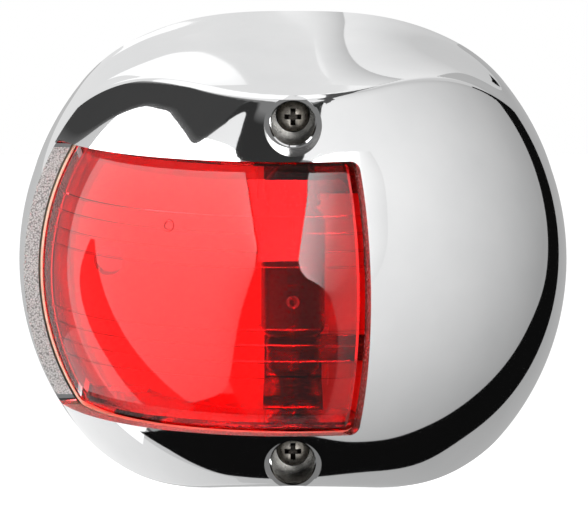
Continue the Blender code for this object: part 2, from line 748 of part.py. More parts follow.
def make_grommet():
    """A rubber bush that grips the base's plate, with a bore for the cable."""
    flange, neck, bore = GROMMET_FLANGE_RADIUS, INLET_RADIUS - GAP, GROMMET_BORE
    inner_face, outer_face = BASE_PLATE_FRONT + GAP, BASE_REAR - GAP
    front = inner_face + GROMMET_FLANGE
    profile = [
        (bore, front),
        (flange - 0.4, front),
        (flange, front - 0.4),
        (flange, inner_face),
        (neck, inner_face),
        (neck, outer_face),
        (flange, outer_face),
        (flange, GAP),
        (bore, GAP),
    ]
    grommet = turned("cable_grommet", profile, "rubber", closed=True)
    grommet.location = place(INLET_X, 0.0, 0.0)


make_housing()
make_lens()
make_lens_seal()
make_wall_gasket()
make_housing_gasket()
make_base()
for end_tag, end_side in SIDES:
    make_cover_screw(end_tag, end_side)
    make_cover_screw_seal(end_tag, end_side)
    make_insert(end_tag, end_side)
    make_contact(end_tag, end_side)
    make_contact_rivet(end_tag, end_side)
    make_terminal(end_tag, end_side)
    make_bulb_cap(end_tag, end_side)
make_bulb_envelope()
make_filament()
make_grommet()
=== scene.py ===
"""Looks for the port navigation light: a mirror-polished housing over a red lens, with its bulb and base.

The frame: X to the right, Y into the wall, Z up, metres. Inside the functions, lengths are in millimetres,
and depth means the distance in front of the wall, which is minus Y.
"""

import json
import math

import bmesh
import bpy
import numpy as np
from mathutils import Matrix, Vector


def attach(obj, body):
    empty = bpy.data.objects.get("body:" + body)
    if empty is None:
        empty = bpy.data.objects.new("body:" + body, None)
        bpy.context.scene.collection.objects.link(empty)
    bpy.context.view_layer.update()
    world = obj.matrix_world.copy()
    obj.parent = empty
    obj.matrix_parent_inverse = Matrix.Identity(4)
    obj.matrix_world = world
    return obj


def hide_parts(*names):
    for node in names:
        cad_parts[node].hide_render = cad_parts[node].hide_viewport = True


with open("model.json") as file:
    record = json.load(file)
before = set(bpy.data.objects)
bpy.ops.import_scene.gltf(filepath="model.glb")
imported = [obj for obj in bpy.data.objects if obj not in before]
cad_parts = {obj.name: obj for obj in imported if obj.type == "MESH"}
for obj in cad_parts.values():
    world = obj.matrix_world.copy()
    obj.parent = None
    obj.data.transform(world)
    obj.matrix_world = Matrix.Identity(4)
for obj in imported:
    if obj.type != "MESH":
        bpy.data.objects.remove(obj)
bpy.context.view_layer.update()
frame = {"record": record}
BODY_OF = {node: body for body, nodes in frame["record"]["behaviour"]["bodies"].items() for node in nodes}
SLOT_OF = {part["node"]: part["material_slot"] for part in frame["record"]["subparts"]}

MM = 0.001
GAP = 0.3
SIDES = (("top", 1), ("bottom", -1))
FLANKS = (("right", 1), ("left", -1))

# The housing's form, with the CAD's own sizes: a dome cut above and below by two roofs.
DOME_RADIUS = 40.2
DOME_START = 1.5
DOME_FRONT = 42.0
DOME_POWER = 2.15
ROOF_TOP = 36.4
ROOF_SLOPE = 0.275
ROOF_ARCH = 6.6e-4
ROOF_ARCH_POWER = 2.8
ROOF_ARCH_END = 28.0
ROOF_ARCH_FADE = 2.7
CREASE_BLEND = 0.6
CORNER_FULLNESS = 0.11
CORNER_DEPTH = 5.0
CORNER_REACH = 4.0
HOUSING_REAR = 0.5
HOUSING_EDGE = 0.45
WALL = 2.0

# Window, and the bosses for the cover screws. The boss's foot, the bores and the cross recess are a few
# tenths of a millimetre off the CAD's, for their look.
WINDOW_HALF_HEIGHT = 19.2
WINDOW_LEFT_DEPTH = 14.0
WINDOW_RIGHT_ANGLE = math.radians(22.5)
WINDOW_CORNER = 1.2
BULB_DEPTH = 15.0
SCREW_Z = 23.9
BOSS_RADIUS = 3.8
BOSS_FACE = 33.3
BOSS_END = 20.5
BOSS_FOOT_RADIUS = 4.2
BOSS_FOOT_INSET = 1.0
BORE_RADIUS = 3.05
BORE_CHAMFER = 0.2
BORE_SEAT = 23.0
SCREW_HOLE_RADIUS = 1.6
SCREW_HEAD_RADIUS = 2.3
SCREW_HEAD_TOP = 26.0
SCREW_HEAD_HEIGHT = 1.7
SCREW_CROWN = 1.1
SCREW_SHANK_RADIUS = 1.25
SCREW_TIP = 8.4
SCREW_TIP_RADIUS = 0.7
SCREW_THREAD_START = 20.0
CROSS_REACH = 1.2
CROSS_HALF_WIDTH = 0.36
CROSS_DEPTH = 1.2
THREAD_PITCH = 0.45
THREAD_DEPTH = 0.2
O_RING_RADIUS = 2.05
O_RING_WIRE = 0.35
O_RING_DEPTH = 23.65

# Lens and seal.
LENS_PAD_INSET = 2.5
LENS_FLANGE_INSET = 3.6
LENS_INNER_INSET = 5.4
LENS_LEDGE_INSETS = (5.0, 11.5)
LENS_LEDGE_Z = (17.5, 19.3)
LENS_HALF_HEIGHT = 21.4
LENS_LEFT_DEPTH = 10.5
LENS_RIGHT_MARGIN = 3.6
LENS_CORNER = 0.8
PRISM_LINES = (4.3, 6.5, 8.8, 11.0)
PRISM_HALF_WIDTH = 0.11
PRISM_DEPTH = 0.35
GATE_MARKS = ((0.0, 0.0), (-17.2, 9.9))
GATE_RADIUS = 0.7
GATE_WIRE = 0.16
SEAL_INSETS = (2.3, 3.3)
SEAL_RIGHT_MARGIN = 3.2
SEAL_OPENING_MARGIN = 0.9
SEAL_OPENING_RISE = 0.1

# Base, gaskets and cable inlet.
RIM_INSET = WALL + 1.5 * GAP
GASKET_THICKNESS = 1.2
GASKET_HOLE_RADIUS = 2.6
GASKET_INLET_RADIUS = 5.6
RING_DEPTHS = (4.8, 6.8)
BASE_REAR = 1.5
BASE_PLATE_FRONT = 4.5
BASE_FLOOR = 4.7
BASE_SKIRT_FRONT = 8.0
BASE_INSET = 2.5
SKIRT_INSETS = (4.6, 6.9)
PILLAR_RADIUS = 3.9
PILLAR_FRONT = 20.2
INSERT_RADIUS = 2.3
INSERT_DEPTHS = (11.8, 19.9)
PEDESTAL_HALF_WIDTH = 5.2
PEDESTAL_FRONT = 7.0
MOUNT_HOLE_X = 27.0
MOUNT_HOLE_RADIUS = 2.2
INLET_X = 15.5
INLET_RADIUS = 4.3
GROMMET_FLANGE_RADIUS = 5.2
GROMMET_FLANGE = 1.2
GROMMET_BORE = 2.2

# Electrical pieces.
STRIP_THICKNESS = 0.6
STRIP_HALF_WIDTH = 4.2
STRIP_Z = (10.4, 17.2)
STRIP_FRONT = 20.5
STRIP_BEND = 0.5
LIP_REACH = 1.2
LIP_LENGTH = 1.8
ARM_Z = (10.4, 14.4)
RIVET_Z = 12.4
RIVET_HOLE_RADIUS = 1.2
RIVET_RADII = (1.8, 0.9)
RIVET_CROWN = 0.8
TERMINAL_X = 17.0
TERMINAL_Z = 12.4
TERMINAL_PAD_RADIUS = 3.8
TERMINAL_HOLE_RADIUS = 1.5
TERMINAL_SCREW_RADII = (2.6, 1.2)
TERMINAL_SCREW_HEIGHT = 1.9
TERMINAL_CROWN = 0.6
TERMINAL_SLOT = (0.4, 0.8)
CLAMP_HALF_SIDE = 3.0
CLAMP_THICKNESS = 0.8
CLAMP_GROOVES = (-2.4, 2.0)
PIN_END = 3.4
TIP_HOLE_RADIUS = 1.5
CAP_RADIUS = 3.9
CAP_WALL = 0.4
CAP_BEAD = 0.15
CAP_Z = (9.8, 13.6)
CAP_TIP_Z = 17.9
CAP_TIP_RADIUS = 1.15
CAP_TIP_LENGTH = 1.6
CAP_TIP_CROWN = 0.5
GLASS_RADIUS = 4.6
GLASS_WALL = 0.5
COIL_TURNS = 10
COIL_HALF_LENGTH = 4.0
COIL_RADIUS = 0.72
COIL_WIRE = 0.12
COIL_POINTS = 16

# Where lofts and cutters end. They differ, so that no two of their end faces share a plane.
LENS_REAR = 4.0
LEDGE_REAR = 2.0
HOLLOW_REAR = -3.0
CORE_REAR = -4.0
NOTCH_REAR = 5.0
FAR = 60.0
SECTOR_FAR = 70.0

# Resolution.
SHELL_QUARTER = 176
SHELL_LEVELS = 110
INNER_QUARTER = 64
INNER_LEVELS = 48
LENS_QUARTER = 96
LENS_LEVELS = 72
OUTLINE_QUARTER = 40
ROUND_STEPS = 64
CORNER_SEGMENTS = 6
SMOOTH_ANGLE = math.radians(30.0)
ON_FORM = 0.02
SAME_WAY = 0.9
NEWTON_STEPS = 12
SLOPE_STEP = 0.01
SEARCH_STEPS = 2000

# Camera: how it sees the light, and where the picture's middle is on it.
VIEW_ELEVATION = 9.35
VIEW_DISTANCE = 0.6
VIEW_CENTRE = (0.15, 0.0, 0.34)
LENS_LENGTH = 249.8
SENSOR_WIDTH = 36.0

# Studio.
STUDIO_RADIUS = 12.0
BACKDROP_RADIUS = 4.5
FLOOR_RADIUS = 4.4
FLOOR_DROP = 0.6
LAYER_STEP = 0.02
CARD_ROWS = 12
CARD_COLUMNS = 7
CURVE_STEPS = 6


# The form of the housing.


def place(x, depth, z):
    """A point in metres from millimetres to the right, in front of the wall and up."""
    return Vector((x, -depth, z)) * MM


def dome_radius(depth, inset=0.0):
    """Radius of the dome's section at this depth, moved inwards by the inset."""
    length = DOME_FRONT - DOME_START - inset
    share = np.clip((depth - DOME_START) / length, 0.0, 1.0)
    return (DOME_RADIUS - inset) * (1.0 - share**DOME_POWER) ** (1.0 / DOME_POWER)


def roof_arch(depth):
    """How strongly the roof bends down towards its sides at this depth."""
    flatter = 1.0 - np.clip(depth / ROOF_ARCH_END, 0.0, 1.0) ** ROOF_ARCH_FADE
    near_corner = np.exp(-(((depth - CORNER_DEPTH) / CORNER_REACH) ** 2))
    return ROOF_ARCH * flatter * (1.0 - CORNER_FULLNESS * near_corner)


def roof_radius(angles, depth, inset=0.0):
    """Distance from the Y axis to the roof along each angle, by Newton's method."""
    top = ROOF_TOP - inset - ROOF_SLOPE * depth
    up = np.abs(np.sin(angles))
    across = np.abs(np.cos(angles))
    arch = roof_arch(depth)
    radius = np.full(np.broadcast(angles, depth).shape, DOME_FRONT)
    for _ in range(NEWTON_STEPS):
        bend = arch * (radius * across) ** ROOF_ARCH_POWER
        slope = up + ROOF_ARCH_POWER * bend / radius + 1e-3
        radius = np.clip(radius - (radius * up + bend - top) / slope, 5.0, 200.0)
    return radius


def dome_share(dome, roof):
    """1 where the dome is the outer surface, 0 where the roof is, and between them along the crease."""
    blend = CREASE_BLEND * np.minimum(1.0, dome / 10.0) + 1e-6
    return np.clip(0.5 + 0.5 * (roof - dome) / blend, 0.0, 1.0), blend


def form_radius(angles, depth, inset=0.0):
    """Distance from the Y axis to the form's surface."""
    dome = dome_radius(depth, inset)
    roof = roof_radius(angles, depth, inset)
    share, blend = dome_share(dome, roof)
    return roof + (dome - roof) * share - blend * share * (1.0 - share)


def form_normals(points, inset=0.0):
    """Outward unit normals of the form at these points of the frame, and how far outside it they are."""
    x, depth, z = points[:, 0] / MM, -points[:, 1] / MM, points[:, 2] / MM
    radius = np.maximum(np.hypot(x, z), 1e-6)
    angles = np.arctan2(z, x)
    length = DOME_FRONT - DOME_START - inset
    deep = np.clip((depth - DOME_START) / length, 0.0, 1.0) ** (DOME_POWER - 1.0) / length
    wide = (radius / (DOME_RADIUS - inset)) ** (DOME_POWER - 1.0) / (DOME_RADIUS - inset)
    arch = roof_arch(depth)
    arch_slope = (roof_arch(depth + SLOPE_STEP) - roof_arch(depth - SLOPE_STEP)) / (2.0 * SLOPE_STEP)
    reach = np.abs(x)
    bend = arch * ROOF_ARCH_POWER * reach ** (ROOF_ARCH_POWER - 1.0)
    roof_out = bend * reach / radius + np.abs(z) / radius
    share, _ = dome_share(dome_radius(depth, inset), roof_radius(angles, depth, inset))
    weight = (1.0 - share) * wide / np.maximum(roof_out, 1e-6)
    normals = np.stack(
        (
            share * wide * x / radius + weight * bend * np.sign(x),
            -(share * deep + weight * (ROOF_SLOPE + arch_slope * reach**ROOF_ARCH_POWER)),
            share * wide * z / radius + weight * np.sign(z),
        ),
        axis=1,
    )
    normals /= np.linalg.norm(normals, axis=1, keepdims=True)
    outward = (normals[:, 0] * x + normals[:, 2] * z) / radius
    return normals, (radius - form_radius(angles, depth, inset)) * outward


def section(depth, inset, quarter, shrink=0.0):
    """Points of the form's outline at one depth."""
    angles = np.linspace(0.0, 2.0 * math.pi, 4 * quarter, endpoint=False)
    radii = form_radius(angles, depth, inset) - shrink
    return [place(x, depth, z) for x, z in zip(radii * np.cos(angles), radii * np.sin(angles))]


# Mesh building.


def add_object(name, mesh):
    obj = bpy.data.objects.new(name, mesh)
    bpy.context.scene.collection.objects.link(obj)
    return obj


def mesh_from(bm, name):
    bm.normal_update()
    bmesh.ops.recalc_face_normals(bm, faces=bm.faces)
    mesh = bpy.data.meshes.new(name)
    bm.to_mesh(mesh)
    bm.free()
    return mesh


def apply_modifiers(obj):
    """Replaces an object's mesh with what its modifiers make of it."""
    graph = bpy.context.evaluated_depsgraph_get()
    mesh = bpy.data.meshes.new_from_object(obj.evaluated_get(graph))
    obj.modifiers.clear()
    obj.data = mesh


def combine(obj, operation, others):
    """Applies a boolean with each of the others, which are used up."""
    for other in others:
        modifier = obj.modifiers.new("combine", "BOOLEAN")
        modifier.object = other
        modifier.operation = operation
        modifier.solver = "MANIFOLD"
    apply_modifiers(obj)
    for other in others:
        bpy.data.objects.remove(other)
    return obj


def cut(obj, *others):
    return combine(obj, "DIFFERENCE", others)


def join(obj, *others):
    return combine(obj, "UNION", others)


def keep_inside(obj, other):
    return combine(obj, "INTERSECT", [other])


def form_depths(inset, levels, rear):
    """Depths of the sections, closer together where the dome turns towards its front."""
    turns = np.linspace(0.0, math.pi / 2.0, levels, endpoint=False)
    depths = DOME_START + (DOME_FRONT - DOME_START - inset) * np.sin(turns) ** (2.0 / DOME_POWER)
    return [depth for depth in depths if depth > rear + GAP]


def add_form(name, inset, rear, quarter=INNER_QUARTER, levels=INNER_LEVELS, edge=0.0):
    """A closed solid of the form, moved inwards by the inset, with a rounded rear edge if it has one."""
    bm = bmesh.new()
    outlines = []
    if edge > 0.0:
        for turn in np.linspace(0.0, math.pi / 2.0, 5):
            depth = rear + edge * (1.0 - math.cos(turn))
            outlines.append(section(depth, inset, quarter, edge * (1.0 - math.sin(turn))))
    else:
        outlines.append(section(rear, inset, quarter))
    outlines += [section(depth, inset, quarter) for depth in form_depths(inset, levels, rear + edge)]
    rings = [[bm.verts.new(point) for point in outline] for outline in outlines]
    pole = bm.verts.new(place(0.0, DOME_FRONT - inset, 0.0))
    for lower, upper in zip(rings, rings[1:]):
        for i, corner in enumerate(lower):
            bm.faces.new((corner, lower[i - 1], upper[i - 1], upper[i]))
    for i, corner in enumerate(rings[-1]):
        bm.faces.new((corner, rings[-1][i - 1], pole))
    bm.faces.new(rings[0])
    return add_object(name, mesh_from(bm, name))


def add_prism(name, corners, offset, bevel=0.0, segments=3):
    """A flat outline of points, swept by the offset, with rounded edges if it has a bevel."""
    bm = bmesh.new()
    face = bm.faces.new([bm.verts.new(corner) for corner in corners])
    swept = bmesh.ops.extrude_face_region(bm, geom=[face])
    moved = [item for item in swept["geom"] if isinstance(item, bmesh.types.BMVert)]
    bmesh.ops.translate(bm, verts=moved, vec=offset)
    obj = add_object(name, mesh_from(bm, name))
    if bevel > 0.0:
        modifier = obj.modifiers.new("edges", "BEVEL")
        modifier.width = bevel * MM
        modifier.segments = segments
        modifier.limit_method = "ANGLE"
        apply_modifiers(obj)
    return obj


def add_box(name, low, high, bevel=0.0):
    """A box between two corners given as (x, depth, z)."""
    (left, back, bottom), (right, front, top) = low, high
    corners = [
        place(left, back, bottom),
        place(right, back, bottom),
        place(right, back, top),
        place(left, back, top),
    ]
    return add_prism(name, corners, place(0.0, front - back, 0.0), bevel)


def turned(name, profile, centre=(0.0, 0.0, 0.0), along="Y", steps=ROUND_STEPS, ring=False):
    """A solid turned about its own axis, which lies along the depth or along Z.

    The profile is a list of (radius, height). It starts and ends on the axis, unless it makes a ring.
    """
    bm = bmesh.new()
    rows = []
    for radius, height in profile:
        turns = [2.0 * math.pi * i / steps for i in range(steps)]
        if radius < 1e-9:
            turns = [0.0]
        row = []
        for turn in turns:
            a, b = radius * math.cos(turn), radius * math.sin(turn)
            point = (a, height, b) if along == "Y" else (a, b, height)
            row.append(bm.verts.new(place(*(p + c for p, c in zip(point, centre)))))
        rows.append(row)
    pairs = list(zip(rows, rows[1:]))
    if ring:
        pairs.append((rows[-1], rows[0]))
    for lower, upper in pairs:
        for i in range(steps):
            j = (i + 1) % steps
            below = (lower[i % len(lower)], lower[j % len(lower)])
            above = (upper[j % len(upper)], upper[i % len(upper)])
            corners = list(dict.fromkeys(below + above))
            if len(corners) > 2:
                bm.faces.new(corners)
    return add_object(name, mesh_from(bm, name))


def rounded(profile, radius, ring=False, steps=3):
    """The same profile with its corners rounded, as far as their neighbours leave room."""
    points = [Vector(point) for point in profile]
    count = len(points)
    result = []
    for i, corner in enumerate(points):
        if not ring and i in (0, count - 1):
            result.append(tuple(corner))
            continue
        before, after = points[i - 1] - corner, points[(i + 1) % count] - corner
        reach = min(radius, 0.45 * before.length, 0.45 * after.length)
        start, end = corner + before.normalized() * reach, corner + after.normalized() * reach
        for share in np.linspace(0.0, 1.0, steps + 1):
            near_start, near_end = start.lerp(corner, share), corner.lerp(end, share)
            result.append(tuple(near_start.lerp(near_end, share)))
    return result


def crown(radius, top, height, steps=8):
    """The profile of a rounded end, from the axis at its top out to its rim."""
    turns = np.linspace(0.0, math.pi / 2.0, steps + 1)
    return [(radius * math.sin(turn), top - height * (1.0 - math.cos(turn))) for turn in turns]


def plug(name, profile, x, z, steps=ROUND_STEPS):
    """A cutter along the depth, from a list of (radius, depth) that runs from its front to its back."""
    front, back = profile[0][1], profile[-1][1]
    return turned(name, [(0.0, front), *profile, (0.0, back)], (x, 0.0, z), steps=steps)


def cylinder(name, x, z, radius, start, end, steps=ROUND_STEPS):
    return plug(name, [(radius, end), (radius, start)], x, z, steps)


def add_outline(name, inset, start, end, level=None, bevel=0.0):
    """A plate between two depths, with the form's outline at one level, moved inwards."""
    outline = section(end if level is None else level, inset, OUTLINE_QUARTER)
    corners = [Vector((point.x, -start * MM, point.z)) for point in outline]
    return add_prism(name, corners, place(0.0, end - start, 0.0), bevel)


def thread(radius, start, end):
    """The crests and roots of a thread, as a profile from one height down to another."""
    crests = np.arange(start, end, -THREAD_PITCH)
    points = []
    for crest in crests:
        points += [(radius, crest), (radius - THREAD_DEPTH, crest - 0.5 * THREAD_PITCH)]
    return points


def circle(radius, height, wire, steps=20):
    """The profile of a round wire bent to a ring."""
    turns = np.linspace(0.0, 2.0 * math.pi, steps, endpoint=False)
    return [(radius + wire * math.cos(turn), height - wire * math.sin(turn)) for turn in turns]


def sector_prism(name, half_height, left_depth, right_margin, corner):
    """The space that the bulb lights through the window: a sector of the plan, between two heights."""
    lean = math.tan(WINDOW_RIGHT_ANGLE)
    plan = (
        (-SECTOR_FAR, left_depth), (-SECTOR_FAR, SECTOR_FAR),
        (right_margin + lean * (SECTOR_FAR - BULB_DEPTH), SECTOR_FAR), (right_margin, BULB_DEPTH),
        (right_margin - 1.0, left_depth),
    )
    corners = [place(x, depth, -half_height) for x, depth in plan]
    return add_prism(name, corners, place(0.0, 0.0, 2.0 * half_height), corner, CORNER_SEGMENTS)


def values_of(items, name, width=1, kind=np.float32):
    """One value of each of a mesh's faces, corners or points, as an array."""
    values = np.empty(len(items) * width, kind)
    items.foreach_get(name, values)
    return values.reshape(-1, width) if width > 1 else values


def form_faces(mesh, insets):
    """For each face, which of the forms it lies on, or -1."""
    centres, facing = values_of(mesh.polygons, "center", 3), values_of(mesh.polygons, "normal", 3)
    kinds = np.full(len(mesh.polygons), -1)
    for kind, inset in enumerate(insets):
        normals, gap = form_normals(centres.astype(float), inset)
        agrees = np.abs((normals * facing).sum(axis=1)) > SAME_WAY
        kinds[agrees & (np.abs(gap) < ON_FORM)] = kind
    return kinds


def shade(obj, insets=()):
    """Smooths by angle, except that faces on a form take the form's own normals."""
    mesh = obj.data
    kinds = form_faces(mesh, insets)
    bm = bmesh.new()
    bm.from_mesh(mesh)
    for face in bm.faces:
        face.smooth = True
    for edge in bm.edges:
        faces = edge.link_faces
        same = len(faces) == 2 and bool(kinds[faces[0].index] == kinds[faces[1].index])
        on_form = same and bool(kinds[faces[0].index] >= 0)
        edge.smooth = on_form or (same and edge.calc_face_angle(0.0) < SMOOTH_ANGLE)
    bm.to_mesh(mesh)
    bm.free()
    if not insets:
        return
    normals = values_of(mesh.corner_normals, "vector", 3)
    at_vertex = values_of(mesh.loops, "vertex_index", kind=np.int32)
    points = values_of(mesh.vertices, "co", 3)[at_vertex].astype(float)
    of_face = np.repeat(np.arange(len(mesh.polygons)), values_of(mesh.polygons, "loop_total", kind=np.int32))
    facing = values_of(mesh.polygons, "normal", 3)[of_face]
    for kind, inset in enumerate(insets):
        chosen = kinds[of_face] == kind
        exact, _ = form_normals(points[chosen], inset)
        exact *= np.sign((exact * facing[chosen]).sum(axis=1, keepdims=True))
        normals[chosen] = exact
    mesh.normals_split_custom_set(normals.tolist())


# Materials.


class Surface:
    """A Principled material whose colour, roughness and relief come from noise in the object's own space."""

    def __init__(self, name, metallic=0.0, transmission=0.0, ior=1.5):
        self.material = bpy.data.materials.new(name)
        self.material.use_nodes = True
        self.nodes = self.material.node_tree.nodes
        self.links = self.material.node_tree.links
        self.shader = self.nodes["Principled BSDF"]
        self.shader.inputs["Metallic"].default_value = metallic
        self.shader.inputs["Transmission Weight"].default_value = transmission
        self.shader.inputs["IOR"].default_value = ior
        self.coordinates = self.nodes.new("ShaderNodeTexCoord")

    def noise(self, size, detail=3.0, stretch=(1.0, 1.0, 1.0)):
        """A noise with features of this size in millimetres, drawn out along an axis by its stretch."""
        mapping = self.nodes.new("ShaderNodeMapping")
        mapping.inputs["Scale"].default_value = [1.0 / (size * MM * axis) for axis in stretch]
        texture = self.nodes.new("ShaderNodeTexNoise")
        texture.inputs["Scale"].default_value = 1.0
        texture.inputs["Detail"].default_value = detail
        self.links.new(self.coordinates.outputs["Object"], mapping.inputs["Vector"])
        self.links.new(mapping.outputs["Vector"], texture.inputs["Vector"])
        return texture.outputs["Fac"]

    def grain_light_and_shade(self, size):
        """Rounded grain cells of this size in millimetres, as distances from their middles; the cast finish
        turns these into grain with painted highlights and painted shade.
        """
        texture = self.nodes.new("ShaderNodeTexVoronoi")
        texture.inputs["Scale"].default_value = 1.0 / (size * MM)
        self.links.new(self.coordinates.outputs["Object"], texture.inputs["Vector"])
        return texture.outputs["Distance"]

    def remap(self, value, low, high, start=0.3, end=0.7):
        """Turns a noise value between start and end into one between low and high."""
        node = self.nodes.new("ShaderNodeMapRange")
        for socket, number in zip(("From Min", "From Max", "To Min", "To Max"), (start, end, low, high)):
            node.inputs[socket].default_value = number
        self.links.new(value, node.inputs["Value"])
        return node.outputs["Result"]

    def colour(self, value, dark, light, start=0.3, end=0.7):
        node = self.nodes.new("ShaderNodeMix")
        node.data_type = "RGBA"
        for socket, tone in (("A", dark), ("B", light)):
            colours = [item for item in node.inputs if item.name == socket and item.type == "RGBA"]
            colours[0].default_value = (*tone, 1.0)
        self.links.new(self.remap(value, 0.0, 1.0, start, end), node.inputs["Factor"])
        result = [item for item in node.outputs if item.type == "RGBA"][0]
        self.links.new(result, self.shader.inputs["Base Color"])

    def roughness(self, value, low, high):
        self.links.new(self.remap(value, low, high), self.shader.inputs["Roughness"])

    def relief(self, value, height, strength=1.0):
        """Bumps of this height in millimetres."""
        node = self.nodes.new("ShaderNodeBump")
        node.inputs["Distance"].default_value = height * MM
        node.inputs["Strength"].default_value = strength
        self.links.new(value, node.inputs["Height"])
        self.links.new(node.outputs["Normal"], self.shader.inputs["Normal"])


def cast_steel():
    """The same casting where it isn't polished: grainy, with a painted highlight on each grain's top and
    painted shade between the grains.
    """
    surface = Surface("cast_steel", metallic=1.0)
    grain_light_and_shade = surface.grain_light_and_shade(0.24)
    # Light at the grains' middles, dark at their edges: real grain, toned as painted highlight and painted
    # shade.
    surface.colour(grain_light_and_shade, (0.60, 0.595, 0.585), (0.20, 0.196, 0.19), 0.25, 0.85)
    surface.roughness(surface.noise(0.4), 0.30, 0.50)
    surface.relief(surface.noise(0.16, 4.0), 0.08)
    return surface.material


def finish(name, kind, colour, gloss, relief=None):
    """A material from its kind, its colour's noise and tones, its gloss's noise and range, and its relief."""
    surface = Surface(name, **kind)
    pattern, dark, light = colour
    surface.colour(surface.noise(*pattern), dark, light)
    pattern, low, high = gloss
    surface.roughness(surface.noise(*pattern), low, high)
    if relief:
        pattern, height = relief
        surface.relief(surface.noise(*pattern), height)
    return surface.material


# A pattern is a noise's size in millimetres, its detail and how far it is drawn out along each axis.
PLAIN = {}
METAL = {"metallic": 1.0}
LENS_PLASTIC = {"transmission": 1.0, "ior": 1.585}
GLASS = {"transmission": 1.0, "ior": 1.5}
TOOL_MARKS = (0.06, 2.0, (8.0, 1.0, 8.0))
BUFFING_MARKS = (0.12, 2.0, (1.0, 1.0, 30.0))
TURNED_GLOSS = (TOOL_MARKS, 0.16, 0.30)
FINISHES = {
    "polished_steel": (
        METAL, ((9.0,), (0.90, 0.905, 0.91), (0.95, 0.952, 0.955)), (BUFFING_MARKS, 0.02, 0.05),
    ),
    "screw_steel": (
        METAL, ((0.9, 5.0), (0.40, 0.36, 0.31), (0.80, 0.77, 0.72)), ((0.25,), 0.22, 0.45), ((0.15,), 0.01),
    ),
    "red_lens": (LENS_PLASTIC, ((12.0,), (0.80, 0.008, 0.010), (0.86, 0.012, 0.014)), ((0.5,), 0.015, 0.035)),
    "white_plastic": (
        PLAIN, ((6.0,), (0.80, 0.78, 0.73), (0.87, 0.86, 0.82)), ((0.8,), 0.30, 0.45), ((0.35,), 0.012),
    ),
    "black_rubber": (
        PLAIN, ((2.0,), (0.012, 0.012, 0.013), (0.030, 0.029, 0.028)), ((0.5,), 0.55, 0.80), ((0.2,), 0.015),
    ),
    "cream_silicone": (
        PLAIN, ((1.5,), (0.52, 0.43, 0.31), (0.68, 0.58, 0.44)), ((0.4,), 0.40, 0.60), ((0.25,), 0.02),
    ),
    "brass": (
        METAL,
        ((1.2,), (0.58, 0.40, 0.16), (0.78, 0.58, 0.27)),
        ((0.08, 2.0, (1.0, 12.0, 1.0)), 0.18, 0.34),
        (TOOL_MARKS, 0.004),
    ),
    "nickel_plate": (
        METAL,
        ((1.5,), (0.07, 0.065, 0.06), (0.14, 0.13, 0.12)),
        ((0.10, 2.0, (14.0, 1.0, 1.0)), 0.14, 0.30),
        ((0.4,), 0.006),
    ),
    "bulb_glass": (GLASS, ((5.0,), (0.20, 0.19, 0.18), (0.27, 0.255, 0.25)), ((1.0,), 0.0, 0.02)),
    "tungsten": (METAL, ((0.3,), (0.18, 0.175, 0.17), (0.32, 0.31, 0.30)), ((0.1,), 0.30, 0.50)),
    # Turned steel: rough from the tool, and toned much darker than the polished steel as painted shade in
    # bores and on cut edges.
    "bored_steel_painted_shade": (METAL, ((0.8,), (0.24, 0.235, 0.225), (0.34, 0.335, 0.32)), TURNED_GLOSS),
    # Nearly black steel: painted shade for the screws' cross recesses and the bosses' sides.
    "recess_painted_shade": (METAL, ((0.8,), (0.05, 0.045, 0.04), (0.10, 0.09, 0.08)), TURNED_GLOSS),
}
MATERIALS = {name: finish(name, *recipe) for name, recipe in FINISHES.items()}
CAST_STEEL = cast_steel()


# Pieces.


def finish_piece(obj, node, insets=()):
    """Shades a piece, and lets it stand for the CAD node, on the same body and in the same finish."""
    shade(obj, insets)
    obj.data.materials.clear()
    obj.data.materials.append(MATERIALS[SLOT_OF[node]])
    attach(obj, BODY_OF[node])
    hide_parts(node)


def roof_wedge(name, side):
    """Everything above the top roof, or below the bottom one, near the screw bosses."""
    near, reach = 12.0, 2.0 * BOSS_RADIUS
    profile = (
        (near, ROOF_TOP - ROOF_SLOPE * near), (FAR, ROOF_TOP - ROOF_SLOPE * FAR), (FAR, FAR), (near, FAR),
    )
    corners = [place(-reach, depth, side * z) for depth, z in profile]
    return add_prism(name, corners, place(2.0 * reach, 0.0, 0.0))


def add_boss(shell, side):
    """A screw boss: a round post on a wider foot, whose outer side follows the roof, with a stepped bore."""
    z = side * SCREW_Z
    foot = cylinder("foot", 0.0, z, BOSS_FOOT_RADIUS, BOSS_END + 0.5, FAR)
    keep_inside(foot, add_form("foot_reach", BOSS_FOOT_INSET, CORE_REAR))
    boss = cylinder("boss", 0.0, z, BOSS_RADIUS, BOSS_END, BOSS_FACE + 2.0)
    join(shell, foot, cut(boss, roof_wedge("wedge", side)))
    facing_radius = BOSS_RADIUS + 0.2
    profile = [
        (facing_radius, FAR), (facing_radius, BOSS_FACE), (BORE_RADIUS + BORE_CHAMFER, BOSS_FACE),
        (BORE_RADIUS, BOSS_FACE - BORE_CHAMFER), (BORE_RADIUS, BORE_SEAT), (SCREW_HOLE_RADIUS, BORE_SEAT),
        (SCREW_HOLE_RADIUS, BOSS_END - 2.0),
    ]
    cut(shell, plug("bore", profile, 0.0, z))


